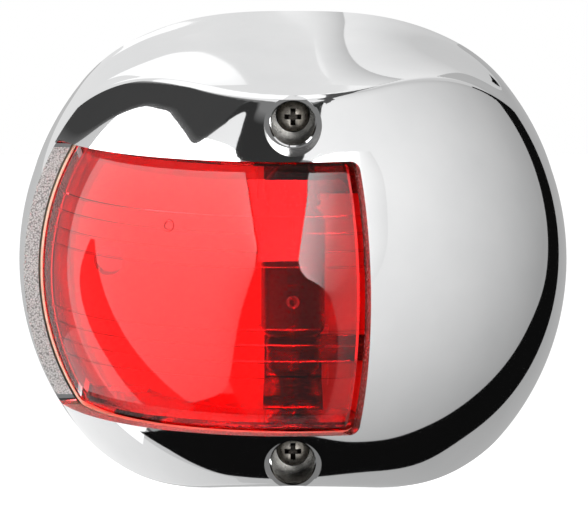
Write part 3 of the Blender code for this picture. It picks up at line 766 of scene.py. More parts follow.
def mark_unpolished_faces(shell):
    """The window's cut left end and the inside are as cast, its other edges and the bores as turned.

    The turned faces take a dark tone, painted shade in the bores and along the window's edges. The bosses'
    sides are darker than either, painted shade round the bosses.
    """
    mesh = shell.data
    for material in (CAST_STEEL, MATERIALS["bored_steel_painted_shade"], MATERIALS["recess_painted_shade"]):
        mesh.materials.append(material)
    centres, facing = values_of(mesh.polygons, "center", 3), values_of(mesh.polygons, "normal", 3)
    depth = -centres[:, 1] / MM
    _, gap = form_normals(centres.astype(float))
    from_screw = np.hypot(centres[:, 0] / MM, np.abs(centres[:, 2]) / MM - SCREW_Z)
    cut_end = (facing[:, 1] < -0.99) & (np.abs(depth - WINDOW_LEFT_DEPTH) < ON_FORM)
    inside = (gap < -0.9 * WALL) & (from_screw > BOSS_FOOT_RADIUS + GAP)
    window_edge = (np.abs(gap + 0.5 * WALL) < 0.45 * WALL) & (depth > WINDOW_LEFT_DEPTH + GAP)
    bore = (from_screw < BOSS_FOOT_RADIUS) & (np.abs(facing[:, 1]) < 0.5) & (gap < -ON_FORM)
    kinds = (cut_end | inside).astype(np.int32)
    seat = from_screw < BORE_RADIUS + ON_FORM
    # Kind 2 is toned dark as painted shade in the bores, seats and along the window's edges; kind 3 darker
    # still, painted shade on the bosses' sides.
    kinds[(window_edge & (from_screw > BOSS_FOOT_RADIUS)) | bore | seat] = 2
    kinds[bore & (from_screw > BORE_RADIUS + GAP)] = 3
    mesh.polygons.foreach_set("material_index", kinds)


def make_housing():
    shell = add_form("housing_shell", 0.0, HOUSING_REAR, SHELL_QUARTER, SHELL_LEVELS, HOUSING_EDGE)
    cut(shell, add_form("hollow", WALL, HOLLOW_REAR))
    cut(shell, sector_prism("window", WINDOW_HALF_HEIGHT, WINDOW_LEFT_DEPTH, 0.0, WINDOW_CORNER))
    for _, side in SIDES:
        add_boss(shell, side)
    finish_piece(shell, "housing", (0.0, WALL))
    mark_unpolished_faces(shell)


def cut_boss_notches(obj):
    """Leaves room for the two screw bosses."""
    for _, side in SIDES:
        cut(obj, cylinder("notch", 0.0, side * SCREW_Z, BOSS_FOOT_RADIUS + GAP, NOTCH_REAR, FAR))


def make_lens_ledges():
    """The two level ledges that stiffen the lens along its upper and lower edges."""
    outer, inner = LENS_LEDGE_INSETS
    low, high = LENS_LEDGE_Z
    ledges = add_form("ledges", outer, LEDGE_REAR)
    cut(ledges, add_form("core", inner, CORE_REAR))
    cut(ledges, add_box("between", (-FAR, -FAR, -low), (FAR, FAR, low)))
    return keep_inside(ledges, sector_prism("reach", high, LENS_LEFT_DEPTH, LENS_RIGHT_MARGIN, 0.0))


def make_lens_hollow():
    """The inside of the lens, with the fine grooves of its level prisms."""
    hollow = add_form("hollow", LENS_INNER_INSET, HOLLOW_REAR, LENS_QUARTER, LENS_LEVELS)
    for height in PRISM_LINES:
        for z in (height, -height):
            groove = add_form("groove", LENS_INNER_INSET - PRISM_DEPTH, CORE_REAR, LENS_QUARTER, LENS_LEVELS)
            low = (-FAR, -FAR, z - PRISM_HALF_WIDTH)
            high = (FAR, FAR, z + PRISM_HALF_WIDTH)
            join(hollow, keep_inside(groove, add_box("slab", low, high)))
    return hollow


def add_gate_marks(lens):
    """The small raised rings that the mould's gates leave on the face."""
    for x, z in GATE_MARKS:
        angle = np.array([math.atan2(z, x)])
        depths = np.linspace(DOME_START, DOME_FRONT - LENS_PAD_INSET, SEARCH_STEPS)
        inside = form_radius(angle, depths, LENS_PAD_INSET) > math.hypot(x, z)
        point = place(x, depths[inside].max(), z)
        normals, _ = form_normals(np.array([point]), LENS_PAD_INSET)
        mark = turned("gate", circle(GATE_RADIUS, 0.0, GATE_WIRE, 12), steps=32, ring=True)
        mark.rotation_mode = "QUATERNION"
        mark.rotation_quaternion = place(0.0, 1.0, 0.0).rotation_difference(Vector(normals[0]))
        mark.location = point
        join(lens, mark)


def make_lens():
    """The red moulding: a raised pad that fills the window, a flange behind its edges and two ledges."""
    lens = add_form("lens_moulding", LENS_PAD_INSET, LENS_REAR, LENS_QUARTER, LENS_LEVELS)
    half_height, left_depth = WINDOW_HALF_HEIGHT - 2.0 * GAP, WINDOW_LEFT_DEPTH + GAP
    keep_inside(lens, sector_prism("pad", half_height, left_depth, -2.0 * GAP, WINDOW_CORNER))
    flange = add_form("flange", LENS_FLANGE_INSET, LENS_REAR)
    reach = sector_prism("reach", LENS_HALF_HEIGHT, LENS_LEFT_DEPTH, LENS_RIGHT_MARGIN, LENS_CORNER)
    join(lens, keep_inside(flange, reach))
    cut(lens, make_lens_hollow())
    join(lens, make_lens_ledges())
    cut_boss_notches(lens)
    add_gate_marks(lens)
    insets = (LENS_PAD_INSET, LENS_FLANGE_INSET, LENS_INNER_INSET, *LENS_LEDGE_INSETS)
    finish_piece(lens, "lens", insets)


def make_lens_seal():
    """A flat frame between the lens's flange and the edges of the window."""
    outer, inner = SEAL_INSETS
    seal = add_form("lens_seal_strip", outer, LENS_REAR)
    half_height, left_depth = LENS_HALF_HEIGHT - GAP, LENS_LEFT_DEPTH + GAP
    keep_inside(seal, sector_prism("reach", half_height, left_depth, SEAL_RIGHT_MARGIN, LENS_CORNER))
    cut(seal, add_form("hollow", inner, HOLLOW_REAR))
    half_height = WINDOW_HALF_HEIGHT + SEAL_OPENING_RISE
    cut(seal, sector_prism("opening", half_height, WINDOW_LEFT_DEPTH, SEAL_OPENING_MARGIN, WINDOW_CORNER))
    cut_boss_notches(seal)
    finish_piece(seal, "lens_seal", SEAL_INSETS)


def make_wall_gasket():
    gasket = add_outline("wall_gasket_sheet", RIM_INSET, 0.0, GASKET_THICKNESS, bevel=0.2)
    front = GASKET_THICKNESS + 2.0
    for _, side in FLANKS:
        cut(gasket, cylinder("hole", side * MOUNT_HOLE_X, 0.0, GASKET_HOLE_RADIUS, -1.0, front))
    cut(gasket, cylinder("inlet", INLET_X, 0.0, GASKET_INLET_RADIUS, -1.0, front))
    finish_piece(gasket, "wall_gasket")


def make_housing_gasket():
    back, front = RING_DEPTHS
    ring = add_outline("housing_gasket_ring", RIM_INSET, back, front, bevel=0.3)
    hollow_inset = SKIRT_INSETS[0] - GAP
    cut(ring, add_outline("hollow", hollow_inset, back - 2.0, front + 2.0, BASE_SKIRT_FRONT))
    finish_piece(ring, "housing_gasket")


def add_base_pads(base, side):
    """One end's pillar for the cover screw, pedestal for the contact and round pad for the terminal."""
    z = side * SCREW_Z
    rim = [(PILLAR_RADIUS - 0.4, PILLAR_FRONT), (PILLAR_RADIUS, PILLAR_FRONT - 0.4)]
    join(base, plug("pillar", [*rim, (PILLAR_RADIUS, BASE_REAR + 1.5)], 0.0, z))
    near, far = sorted((side * (STRIP_Z[0] - 1.0), side * (STRIP_Z[1] + 1.0)))
    back = (-PEDESTAL_HALF_WIDTH, BASE_REAR + 1.3, near)
    join(base, add_box("pedestal", back, (PEDESTAL_HALF_WIDTH, PEDESTAL_FRONT, far), 0.3))
    front = PEDESTAL_FRONT - 0.1
    rim = [(TERMINAL_PAD_RADIUS - 0.3, front), (TERMINAL_PAD_RADIUS, front - 0.3)]
    join(base, plug("pad", [*rim, (TERMINAL_PAD_RADIUS, BASE_REAR + 1.7)], TERMINAL_X, side * TERMINAL_Z))


def cut_base_holes(base, side):
    """The same end's bores for the insert, the rivet and the terminal screw."""
    radius, back = INSERT_RADIUS + GAP, INSERT_DEPTHS[0] - GAP
    profile = [
        (radius, PILLAR_FRONT + 10.0), (radius, back), (SCREW_HOLE_RADIUS, back),
        (SCREW_HOLE_RADIUS, SCREW_TIP - 1.0),
    ]
    cut(base, plug("insert_bore", profile, 0.0, side * SCREW_Z))
    start, end = PIN_END - 0.4, PEDESTAL_FRONT + 5.0
    cut(base, cylinder("rivet_bore", 0.0, side * RIVET_Z, RIVET_HOLE_RADIUS, start, end))
    cut(base, cylinder("terminal_bore", TERMINAL_X, side * TERMINAL_Z, TERMINAL_HOLE_RADIUS, start, end))


def make_base():
    """A plate with a skirt, two pillars for the cover screws, and raised pads for the contacts."""
    base = add_outline("base_moulding", BASE_INSET, BASE_REAR, BASE_PLATE_FRONT, bevel=0.3)
    join(base, add_outline("skirt", SKIRT_INSETS[0], BASE_REAR + 1.0, BASE_SKIRT_FRONT, bevel=0.3))
    pocket_front = BASE_SKIRT_FRONT + 4.0
    cut(base, add_outline("pocket", SKIRT_INSETS[1], BASE_FLOOR, pocket_front, BASE_SKIRT_FRONT))
    for _, side in SIDES:
        add_base_pads(base, side)
        cut_base_holes(base, side)
    for _, side in FLANKS:
        cut(base, cylinder("mount_hole", side * MOUNT_HOLE_X, 0.0, MOUNT_HOLE_RADIUS, 0.0, 10.0))
    cut(base, cylinder("inlet", INLET_X, 0.0, INLET_RADIUS, 0.0, 10.0))
    finish_piece(base, "base")


def make_cross_recess(side):
    """Two crossed slots that narrow towards their bottom, as a cutter for a cover screw's head."""
    z = side * SCREW_Z
    half, top = CROSS_HALF_WIDTH, SCREW_HEAD_TOP
    plan = (
        (-CROSS_REACH, top + 1.0), (CROSS_REACH, top + 1.0), (CROSS_REACH, top - 0.4 * CROSS_DEPTH),
        (0.5 * CROSS_REACH, top - CROSS_DEPTH), (-0.5 * CROSS_REACH, top - CROSS_DEPTH),
        (-CROSS_REACH, top - 0.4 * CROSS_DEPTH),
    )
    corners = [place(a, depth, z - half) for a, depth in plan]
    level = add_prism("level", corners, place(0.0, 0.0, 2.0 * half))
    corners = [place(-half, depth, z + a) for a, depth in plan]
    return join(level, add_prism("upright", corners, place(2.0 * half, 0.0, 0.0)))


def mark_recess(screw, side):
    """The recess takes a much darker tone than the head round it: painted shade in the cross."""
    mesh = screw.data
    mesh.materials.append(MATERIALS["recess_painted_shade"])
    centres = values_of(mesh.polygons, "center", 3) / MM
    from_axis = np.hypot(centres[:, 0], centres[:, 2] - side * SCREW_Z)
    below_top = SCREW_HEAD_TOP + centres[:, 1]
    inside = (from_axis < CROSS_REACH + ON_FORM) & (below_top > 0.2) & (below_top < CROSS_DEPTH + ON_FORM)
    mesh.polygons.foreach_set("material_index", inside.astype(np.int32))


def make_cover_screw(tag, side):
    seat = SCREW_HEAD_TOP - SCREW_HEAD_HEIGHT
    profile = [
        *crown(SCREW_HEAD_RADIUS, SCREW_HEAD_TOP, SCREW_CROWN), (SCREW_HEAD_RADIUS, seat + 0.15),
        (SCREW_HEAD_RADIUS - 0.15, seat), (SCREW_SHANK_RADIUS, seat),
        *thread(SCREW_SHANK_RADIUS, SCREW_THREAD_START, SCREW_TIP + 0.9), (SCREW_TIP_RADIUS, SCREW_TIP),
        (0.0, SCREW_TIP),
    ]
    screw = turned(f"cover_screw_{tag}_turned", profile, (0.0, 0.0, side * SCREW_Z))
    finish_piece(cut(screw, make_cross_recess(side)), f"cover_screw_{tag}")
    mark_recess(screw, side)


def make_cover_screw_seal(tag, side):
    """The O-ring under the screw's head."""
    loop = circle(O_RING_RADIUS, O_RING_DEPTH, O_RING_WIRE)
    seal = turned(f"cover_screw_seal_{tag}_ring", loop, (0.0, 0.0, side * SCREW_Z), ring=True)
    finish_piece(seal, f"cover_screw_seal_{tag}")


def make_insert(tag, side):
    """The brass nut in the base's pillar that the cover screw enters, with a groove round its middle."""
    inner, outer = SCREW_SHANK_RADIUS + GAP, INSERT_RADIUS
    back, front = INSERT_DEPTHS
    middle = 0.5 * (back + front)
    ring = [
        (inner + 0.25, front), (outer - 0.2, front), (outer, front - 0.2), (outer, middle + 1.0),
        (outer - 0.3, middle + 0.8), (outer - 0.3, middle - 0.8), (outer, middle - 1.0), (outer, back),
        (inner, back), (inner, front - 0.25),
    ]
    insert = turned(f"insert_{tag}_nut", ring, (0.0, 0.0, side * SCREW_Z), ring=True)
    finish_piece(insert, f"insert_{tag}")


def make_contact(tag, side):
    """A stamped strip: a foot with an arm to its terminal, and a leaf with a hole for the bulb's tip."""
    foot, far = STRIP_Z
    near = far - STRIP_THICKNESS
    low = PEDESTAL_FRONT + GAP
    high = low + STRIP_THICKNESS
    profile = (
        (foot, low), (far, low), (far, STRIP_FRONT), (far + LIP_REACH, STRIP_FRONT + LIP_LENGTH - 0.4),
        (far + LIP_REACH - 0.4, STRIP_FRONT + LIP_LENGTH), (near, STRIP_FRONT + 0.3), (near, high),
        (foot, high),
    )
    outline = rounded(profile, STRIP_BEND, ring=True)
    corners = [place(-STRIP_HALF_WIDTH, depth, side * z) for z, depth in outline]
    contact = add_prism(f"contact_{tag}_strip", corners, place(2.0 * STRIP_HALF_WIDTH, 0.0, 0.0), 0.08)
    low_z, high_z = sorted((side * ARM_Z[0], side * ARM_Z[1]))
    arm_end = TERMINAL_X + CLAMP_HALF_SIDE + 0.6
    join(contact, add_box("arm", (STRIP_HALF_WIDTH - 1.0, low, low_z), (arm_end, high, high_z), 0.08))
    disc = [(0.0, 1.0), (TIP_HOLE_RADIUS, 1.0), (TIP_HOLE_RADIUS, -1.0), (0.0, -1.0)]
    middle = (0.0, BULB_DEPTH, side * (far - STRIP_THICKNESS / 2.0))
    cut(contact, turned("tip_hole", disc, middle, along="Z"))
    start, end = low - 1.0, high + 1.0
    cut(contact, cylinder("rivet_hole", 0.0, side * RIVET_Z, RIVET_HOLE_RADIUS, start, end))
    cut(contact, cylinder("screw_hole", TERMINAL_X, side * TERMINAL_Z, TERMINAL_HOLE_RADIUS, start, end))
    finish_piece(contact, f"contact_{tag}")


def strip_front():
    """The depth where whatever lies on a contact strip starts."""
    return PEDESTAL_FRONT + 2.0 * GAP + STRIP_THICKNESS


def make_contact_rivet(tag, side):
    low = strip_front()
    head, pin = RIVET_RADII
    body = [(head - 0.1, low), (pin, low), (pin, PIN_END + 0.2), (pin - 0.2, PIN_END), (0.0, PIN_END)]
    profile = [*crown(head, low + RIVET_CROWN, RIVET_CROWN - 0.1), *body]
    rivet = turned(f"contact_rivet_{tag}_turned", profile, (0.0, 0.0, side * RIVET_Z))
    finish_piece(rivet, f"contact_rivet_{tag}")


def make_clamp(tag, side):
    """The square plate that presses the wire, with a groove along two of its edges."""
    low = strip_front()
    high = low + CLAMP_THICKNESS
    x, z, half = TERMINAL_X, side * TERMINAL_Z, CLAMP_HALF_SIDE
    name = f"terminal_clamp_{tag}_plate"
    plate = add_box(name, (x - half, low, z - half), (x + half, high, z + half), 0.15)
    for start in CLAMP_GROOVES:
        back = (x + start, high - 0.2, z - half - 1.0)
        cut(plate, add_box("groove", back, (x + start + 0.4, high + 1.0, z + half + 1.0)))
    cut(plate, cylinder("hole", x, z, TERMINAL_HOLE_RADIUS, low - 1.0, high + 1.0))
    finish_piece(plate, f"terminal_clamp_{tag}")


def make_terminal_screw(tag, side):
    seat = strip_front() + CLAMP_THICKNESS + GAP
    top = seat + TERMINAL_SCREW_HEIGHT
    head, pin = TERMINAL_SCREW_RADII
    x, z = TERMINAL_X, side * TERMINAL_Z
    profile = [
        *crown(head, top, TERMINAL_CROWN), (head, seat + 0.15), (head - 0.15, seat), (pin, seat),
        *thread(pin, seat - 0.3, PIN_END + 0.7), (pin - THREAD_DEPTH, PIN_END), (0.0, PIN_END),
    ]
    screw = turned(f"terminal_screw_{tag}_turned", profile, (x, 0.0, z))
    half, deep = TERMINAL_SLOT
    reach = head + 1.0
    cut(screw, add_box("slot", (x - reach, top - deep, z - half), (x + reach, top + 1.0, z + half)))
    finish_piece(screw, f"terminal_screw_{tag}")


def make_bulb_cap(tag, side):
    """One metal end of the bulb: a cup over the glass neck with a beaded rim, a cone and a round tip."""
    inner = CAP_RADIUS - CAP_WALL
    low, high = CAP_Z
    body = [
        (CAP_TIP_RADIUS, CAP_TIP_Z - CAP_TIP_CROWN), (CAP_TIP_RADIUS, CAP_TIP_Z - CAP_TIP_LENGTH),
        (CAP_RADIUS - CAP_BEAD, high), (CAP_RADIUS - CAP_BEAD, low + 0.8), (CAP_RADIUS, low + 0.6),
        (CAP_RADIUS, low), (inner, low), (inner, high - CAP_WALL), (0.0, high - CAP_WALL),
    ]
    profile = [*crown(CAP_TIP_RADIUS, CAP_TIP_Z, CAP_TIP_CROWN)[:-1], *rounded(body, 0.2)]
    outline = [(radius, side * height) for radius, height in profile]
    cap = turned(f"bulb_cap_{tag}_cup", outline, (0.0, BULB_DEPTH, 0.0), along="Z")
    finish_piece(cap, f"bulb_cap_{tag}")


def make_bulb_envelope():
    """A glass tube with a narrower neck at each end, open inside the metal caps."""
    neck = CAP_RADIUS - CAP_WALL - GAP
    shoulder = CAP_Z[0] - GAP
    upper = [(neck, CAP_Z[1] - 1.0), (neck, shoulder), (GLASS_RADIUS, shoulder - 1.4)]
    outer = upper + [(radius, -height) for radius, height in reversed(upper)]
    inner = [(radius - GLASS_WALL, height) for radius, height in reversed(outer)]
    outline = rounded(outer + inner, 0.7, ring=True, steps=6)
    envelope = turned("bulb_envelope_glass", outline, (0.0, BULB_DEPTH, 0.0), along="Z", ring=True)
    finish_piece(envelope, "bulb_envelope")


def make_filament():
    """A coil on the bulb's axis with a straight lead wire at each end."""
    half, lead_end = COIL_HALF_LENGTH, CAP_Z[1] - 1.2
    count = COIL_TURNS * COIL_POINTS
    points = [place(0.0, BULB_DEPTH, lead_end), place(0.0, BULB_DEPTH, half + 0.6)]
    for i in range(count + 1):
        angle = 2.0 * math.pi * i / COIL_POINTS
        across, deep = COIL_RADIUS * math.cos(angle), COIL_RADIUS * math.sin(angle)
        points.append(place(across, BULB_DEPTH + deep, half - 2.0 * half * i / count))
    points += [place(0.0, BULB_DEPTH, -half - 0.6), place(0.0, BULB_DEPTH, -lead_end)]
    curve = bpy.data.curves.new("wire", "CURVE")
    curve.dimensions = "3D"
    curve.bevel_depth = COIL_WIRE * MM
    curve.bevel_resolution = 3
    curve.use_fill_caps = True
    spline = curve.splines.new("POLY")
    spline.points.add(len(points) - 1)
    for knot, point in zip(spline.points, points):
        knot.co = (*point, 1.0)
    wire = add_object("wire", curve)
    graph = bpy.context.evaluated_depsgraph_get()
    mesh = bpy.data.meshes.new_from_object(wire.evaluated_get(graph))
    bpy.data.objects.remove(wire)
    finish_piece(add_object("bulb_filament_coil", mesh), "bulb_filament")


def make_grommet():
    """A rubber bush that grips the base's plate, with a bore for the cable."""
    flange, neck, bore = GROMMET_FLANGE_RADIUS, INLET_RADIUS - GAP, GROMMET_BORE
    inner_face, outer_face = BASE_PLATE_FRONT + GAP, BASE_REAR - GAP
    front = inner_face + GROMMET_FLANGE
    profile = [
        (bore, front), (flange, front), (flange, inner_face), (neck, inner_face), (neck, outer_face),
        (flange, outer_face), (flange, GAP), (bore, GAP),
    ]
    outline = rounded(profile, 0.35, ring=True)
    finish_piece(turned("cable_grommet_bush", outline, (INLET_X, 0.0, 0.0), ring=True), "cable_grommet")


# The studio: a pale floor and backdrop that only the camera sees, and large cards that light the object.


def direction(azimuth, elevation):
    """The way to a point seen from the object: azimuth 0 is towards the camera, 90 to the right."""
    a, e = math.radians(azimuth), math.radians(elevation)
    return (math.sin(a) * math.cos(e), -math.cos(a) * math.cos(e), math.sin(e))


def smooth_line(points):
    """Unit vectors along a Catmull-Rom curve through these directions."""
    ways = np.array([direction(*point) for point in (points[0], *points, points[-1])])
    line = []
    for a, b, c, d in zip(ways, ways[1:], ways[2:], ways[3:]):
        for t in np.arange(CURVE_STEPS) / CURVE_STEPS:
            bend = (2.0 * a - 5.0 * b + 4.0 * c - d) * t**2 + (3.0 * b - a - 3.0 * c + d) * t**3
            line.append(0.5 * (2.0 * b + (c - a) * t + bend))
    line.append(ways[-2])
    line = np.array(line)
    return line / np.linalg.norm(line, axis=1, keepdims=True)


def glow(name, strength, levels=None, attribute="across"):
    """An emission material of one strength, or with levels of it at shares of the way across the card."""
    material = bpy.data.materials.new(name)
    material.use_nodes = True
    nodes, links = material.node_tree.nodes, material.node_tree.links
    nodes.clear()
    emission = nodes.new("ShaderNodeEmission")
    emission.inputs["Strength"].default_value = strength
    if levels:
        share = nodes.new("ShaderNodeAttribute")
        share.attribute_name = attribute
        ramp = nodes.new("ShaderNodeValToRGB")
        elements = ramp.color_ramp.elements
        while len(elements) < len(levels):
            elements.new(1.0)
        for element, (position, level) in zip(elements, levels):
            element.position = position
            element.color = (level / strength, level / strength, level / strength, 1.0)
        links.new(share.outputs["Fac"], ramp.inputs["Fac"])
        links.new(ramp.outputs["Color"], emission.inputs["Color"])
    output = nodes.new("ShaderNodeOutputMaterial")
    links.new(emission.outputs["Emission"], output.inputs["Surface"])
    return material


def set_seen_by(obj, camera=False, mirrors=True, matte=True, glass=True):
    obj.visible_camera = camera
    obj.visible_glossy = mirrors
    obj.visible_diffuse = matte
    obj.visible_transmission = glass
    obj.visible_shadow = False


def add_card(name, rows, material, layer=0):
    """A card on the studio's sphere, between two curves, from rows of a point of the first and of the second.

    Each point is an azimuth and an elevation.
    Cards of a higher layer lie in front of those of a lower one. The mesh notes how far each of its
    corners is across from the first curve to the second, and how far along them.
    """
    first, second = smooth_line([row[:2] for row in rows]), smooth_line([row[2:] for row in rows])
    radius = STUDIO_RADIUS * (1.0 - LAYER_STEP * layer)
    shares = np.linspace(0.0, 1.0, CARD_ROWS + 1)
    bm = bmesh.new()
    grid = []
    for share in shares:
        points = first + (second - first) * share
        points *= radius / np.linalg.norm(points, axis=1, keepdims=True)
        grid.append([bm.verts.new(point) for point in points])
    for lower, upper in zip(grid, grid[1:]):
        for i in range(len(lower) - 1):
            bm.faces.new((lower[i], lower[i + 1], upper[i + 1], upper[i]))
    obj = add_object(name, mesh_from(bm, name))
    across = np.repeat(shares, len(first))
    along = np.tile(np.linspace(0.0, 1.0, len(first)), CARD_ROWS + 1)
    for attribute, values in (("across", across), ("along", along)):
        layer_data = obj.data.attributes.new(attribute, "FLOAT", "POINT")
        layer_data.data.foreach_set("value", values.astype(np.float32))
    obj.data.materials.append(material)
    return obj


def upright_card(name, left, right, bottom, top, material, layer=0):
    """A card between two azimuths and two elevations."""
    azimuths = np.linspace(left, right, CARD_COLUMNS)
    return add_card(name, [(a, bottom, a, top) for a in azimuths], material, layer)


def add_world():
    """Soft light from everywhere, brighter in front and above, and on the left."""
    world = bpy.data.worlds.new("studio")
    bpy.context.scene.world = world
    world.use_nodes = True
    nodes, links = world.node_tree.nodes, world.node_tree.links
    coordinates = nodes.new("ShaderNodeTexCoord")
    strengths = []
    for way, base in (((-0.16, 0.0, 0.0), 0.48), ((0.0, -0.32, 0.24), 0.57)):
        dot = nodes.new("ShaderNodeVectorMath")
        dot.operation = "DOT_PRODUCT"
        dot.inputs[1].default_value = way
        add = nodes.new("ShaderNodeMath")
        add.inputs[1].default_value = base
        links.new(coordinates.outputs["Generated"], dot.inputs[0])
        links.new(dot.outputs["Value"], add.inputs[0])
        strengths.append(add.outputs["Value"])
    brighter = nodes.new("ShaderNodeMath")
    brighter.operation = "MAXIMUM"
    for socket, strength in zip(brighter.inputs, strengths):
        links.new(strength, socket)
    background = nodes["Background"]
    background.inputs["Color"].default_value = (1.0, 1.0, 1.0, 1.0)
    links.new(brighter.outputs["Value"], background.inputs["Strength"])


def add_backdrop():
    """A white sphere and a pale floor that only the camera sees."""
    bm = bmesh.new()
    bmesh.ops.create_icosphere(bm, subdivisions=4, radius=BACKDROP_RADIUS)
    backdrop = add_object("backdrop", mesh_from(bm, "backdrop"))
    backdrop.data.materials.append(glow("backdrop_white", 1.0))
    bm = bmesh.new()
    bmesh.ops.create_circle(bm, cap_ends=True, segments=64, radius=FLOOR_RADIUS)
    floor = add_object("floor", mesh_from(bm, "floor"))
    floor.location.z = -FLOOR_DROP
    floor_material = bpy.data.materials.new("floor_pale")
    floor_material.use_nodes = True
    shader = floor_material.node_tree.nodes["Principled BSDF"]
    shader.inputs["Base Color"].default_value = (0.93, 0.93, 0.93, 1.0)
    shader.inputs["Roughness"].default_value = 0.8
    shader.inputs["Emission Color"].default_value = (1.0, 1.0, 1.0, 1.0)
    shader.inputs["Emission Strength"].default_value = 0.5
    floor.data.materials.append(floor_material)
    for obj in (backdrop, floor):
        set_seen_by(obj, camera=True, mirrors=False, matte=False, glass=False)


def add_softboxes():
    """White cards: a large one on the left, a smaller one on the right, and some behind the object.

    The fill is a strong card that only shows through glass.
    """
    left_box = (
        (-118, -50, -118, 50), (-95, -50, -95, 50), (-75, -50, -75, 50), (-55, -50, -55, 50),
        (-36, -46, -36, 49), (-28, -38, -28, 45), (-23, -27, -23, 38), (-19, -16, -19, 29),
        (-16, -8, -16, 20), (-13, 1, -13, 9),
    )
    right_box = (
        (12, -8, 8, -4), (20, -8, 4, -2), (28, -2, 2, 3), (34, 8, 3, 12), (38, 22, 6, 29), (42, 36, 9, 43),
        (42, 46, 22, 47),
    )
    roof_glow = (
        (148, 76, 148, 84), (158, 72, 158, 84), (166, 66, 166, 84), (172, 56, 172, 84), (177, 46, 177, 84),
        (185, 40, 185, 84), (195, 36, 195, 84), (210, 40, 210, 84), (225, 46, 225, 84), (240, 54, 240, 84),
        (248, 60, 248, 82),
    )
    arc_glow = (
        (176, 14, 176, 38), (180, 14, 180, 37), (185, 14, 185, 35), (190, 14, 190, 32), (194, 14, 194, 27),
        (196, 14, 196, 17),
    )
    rising = ((0.0, 1.1), (0.3, 1.6), (0.65, 2.2), (0.95, 3.1))
    fading = ((0.0, 0.8), (0.3, 1.0), (0.6, 2.2), (0.95, 6.5))
    for card in (
        add_card("softbox_left", left_box, glow("softbox_white", 3.1, rising), 1),
        add_card("softbox_right", right_box, glow("softbox_fading", 6.5, fading), 1),
        upright_card("glow_behind_low", 165, 195, -26, -4, glow("behind_white", 1.1), 1),
        add_card("roof_glow", roof_glow, glow("roof_white", 1.1), 1),
        add_card("arc_glow", arc_glow, glow("arc_white", 1.1, ((0.0, 0.52), (0.3, 1.1)), "along"), 1),
    ):
        set_seen_by(card)
    fill = upright_card("fill", -115, 40, 4, 62, glow("fill_white", 40.0), -1)
    set_seen_by(fill, mirrors=False, matte=False)


def add_grey_cards():
    """Grey cards that tone the mirror. They only show in mirrors."""
    gap = (
        (-30, -60, 20, -60), (-30, -40, 19, -40), (-30, -20, 16, -20), (-30, 0, 10, 0), (-30, 20, 10, 20),
        (-30, 44, 10, 44),
    )
    roof_right_levels = ((0.0, 0.58), (0.5, 0.6), (1.0, 0.95))
    lower_left_levels = ((0.0, 0.6), (1.0, 0.95))
    roof_right_grey = glow("roof_right_grey", 0.95, roof_right_levels, "along")
    for card in (
        add_card("gap_at_camera", gap, glow("gap_grey", 0.2)),
        upright_card("roof_right", 150, 179, 16, 76, roof_right_grey),
        upright_card("under_softbox", -100, -28, -60, -47, glow("under_softbox_grey", 0.08)),
        upright_card("roof_left", 177, 216, 2, 46, glow("roof_left_grey", 0.78)),
        upright_card("lower_left", -165, -110, -75, -20, glow("lower_left_grey", 0.95, lower_left_levels)),
    ):
        set_seen_by(card, matte=False, glass=False)


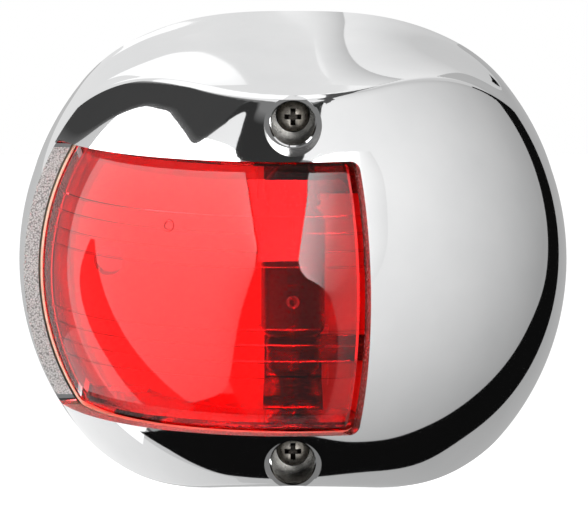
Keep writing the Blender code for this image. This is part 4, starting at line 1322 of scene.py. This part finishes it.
def add_dark_cards():
    """Dark cards that give the mirror its dark bands. They only show in mirrors."""
    wave_left = (
        (-150, 6, -150, 36), (-134, 14, -137, 47), (-126, 21, -128, 53), (-120, 30, -120, 57),
        (-110, 42, -110, 65), (-100, 47, -100, 69), (-90, 50, -90, 73), (-70, 49, -72, 78),
        (-56, 47, -58, 79), (-48, 58, -48, 80),
    )
    wave_right = (
        (-50, 56, -50, 78), (-42, 65, -42, 78), (-35, 58, -35, 78), (-29, 45, -29, 78), (-12, 43, -12, 78),
        (4, 44, 4, 78), (10, 58, 10, 78), (20, 63, 20, 77), (30, 70, 30, 76), (40, 72, 40, 75),
    )
    crease = (
        (35, 70, 35, 76), (60, 76, 60, 80), (90, 80, 90, 84), (120, 79, 120, 83), (145, 74, 145, 79),
        (160, 66, 165, 71), (170, 56, 174, 60), (174, 46, 178, 50),
    )
    band = (
        (148, 25, 153, 23), (146, 17, 154, 13), (137, 3, 151, 3), (130, -9, 146, -10), (120, -19, 140, -22),
        (105, -36, 128, -42), (90, -50, 124, -55), (72, -60, 105, -71), (46, -65, 90, -82),
        (0, -62, -100, -86), (-45, -60, -104, -78), (-80, -55, -108, -70), (-107, -49, -104, -57),
    )
    wedge = (
        (-100, 4, -97, 4), (-107, -8, -90, -8), (-105, -20, -83, -20), (-101, -30, -77, -30),
        (-99, -40, -70, -40), (-97, -52, -60, -52),
    )
    left_levels = ((0.0, 0.14), (0.1, 0.05), (0.7, 0.05), (0.88, 0.24), (1.0, 0.5))
    right_levels = ((0.0, 0.03), (0.5, 0.03), (0.68, 0.2))
    for card in (
        add_card("wave_left", wave_left, glow("wave_soft", 0.65, left_levels), 2),
        add_card("wave_right", wave_right, glow("wave_dark", 0.22, right_levels), 3),
        add_card("crease", crease, glow("crease_dark", 0.08), 2),
        add_card("band", band, glow("band_black", 0.004), 2),
        add_card("wedge", wedge, glow("wedge_grey", 0.3), 2),
    ):
        set_seen_by(card, matte=False, glass=False)


def add_camera():
    """Looks at the front from a little above, with a long lens."""
    data = bpy.data.cameras.new("camera")
    data.lens = LENS_LENGTH
    data.sensor_width = SENSOR_WIDTH
    camera = bpy.data.objects.new("camera", data)
    bpy.context.scene.collection.objects.link(camera)
    bpy.context.scene.camera = camera
    away = Vector(direction(0.0, VIEW_ELEVATION))
    camera.location = place(*VIEW_CENTRE) + away * VIEW_DISTANCE
    camera.rotation_euler = (-away).to_track_quat("-Z", "Y").to_euler()


def set_tones():
    """Shows the materials' own colours, without a film curve."""
    bpy.context.scene.view_settings.view_transform = "Standard"


add_camera()
make_housing()
make_lens()
make_lens_seal()
make_wall_gasket()
make_housing_gasket()
make_base()
for end_tag, end_side in SIDES:
    make_cover_screw(end_tag, end_side)
    make_cover_screw_seal(end_tag, end_side)
    make_insert(end_tag, end_side)
    make_contact(end_tag, end_side)
    make_contact_rivet(end_tag, end_side)
    make_clamp(end_tag, end_side)
    make_terminal_screw(end_tag, end_side)
    make_bulb_cap(end_tag, end_side)
make_bulb_envelope()
make_filament()
make_grommet()
add_world()
add_backdrop()
add_softboxes()
add_grey_cards()
add_dark_cards()
set_tones()
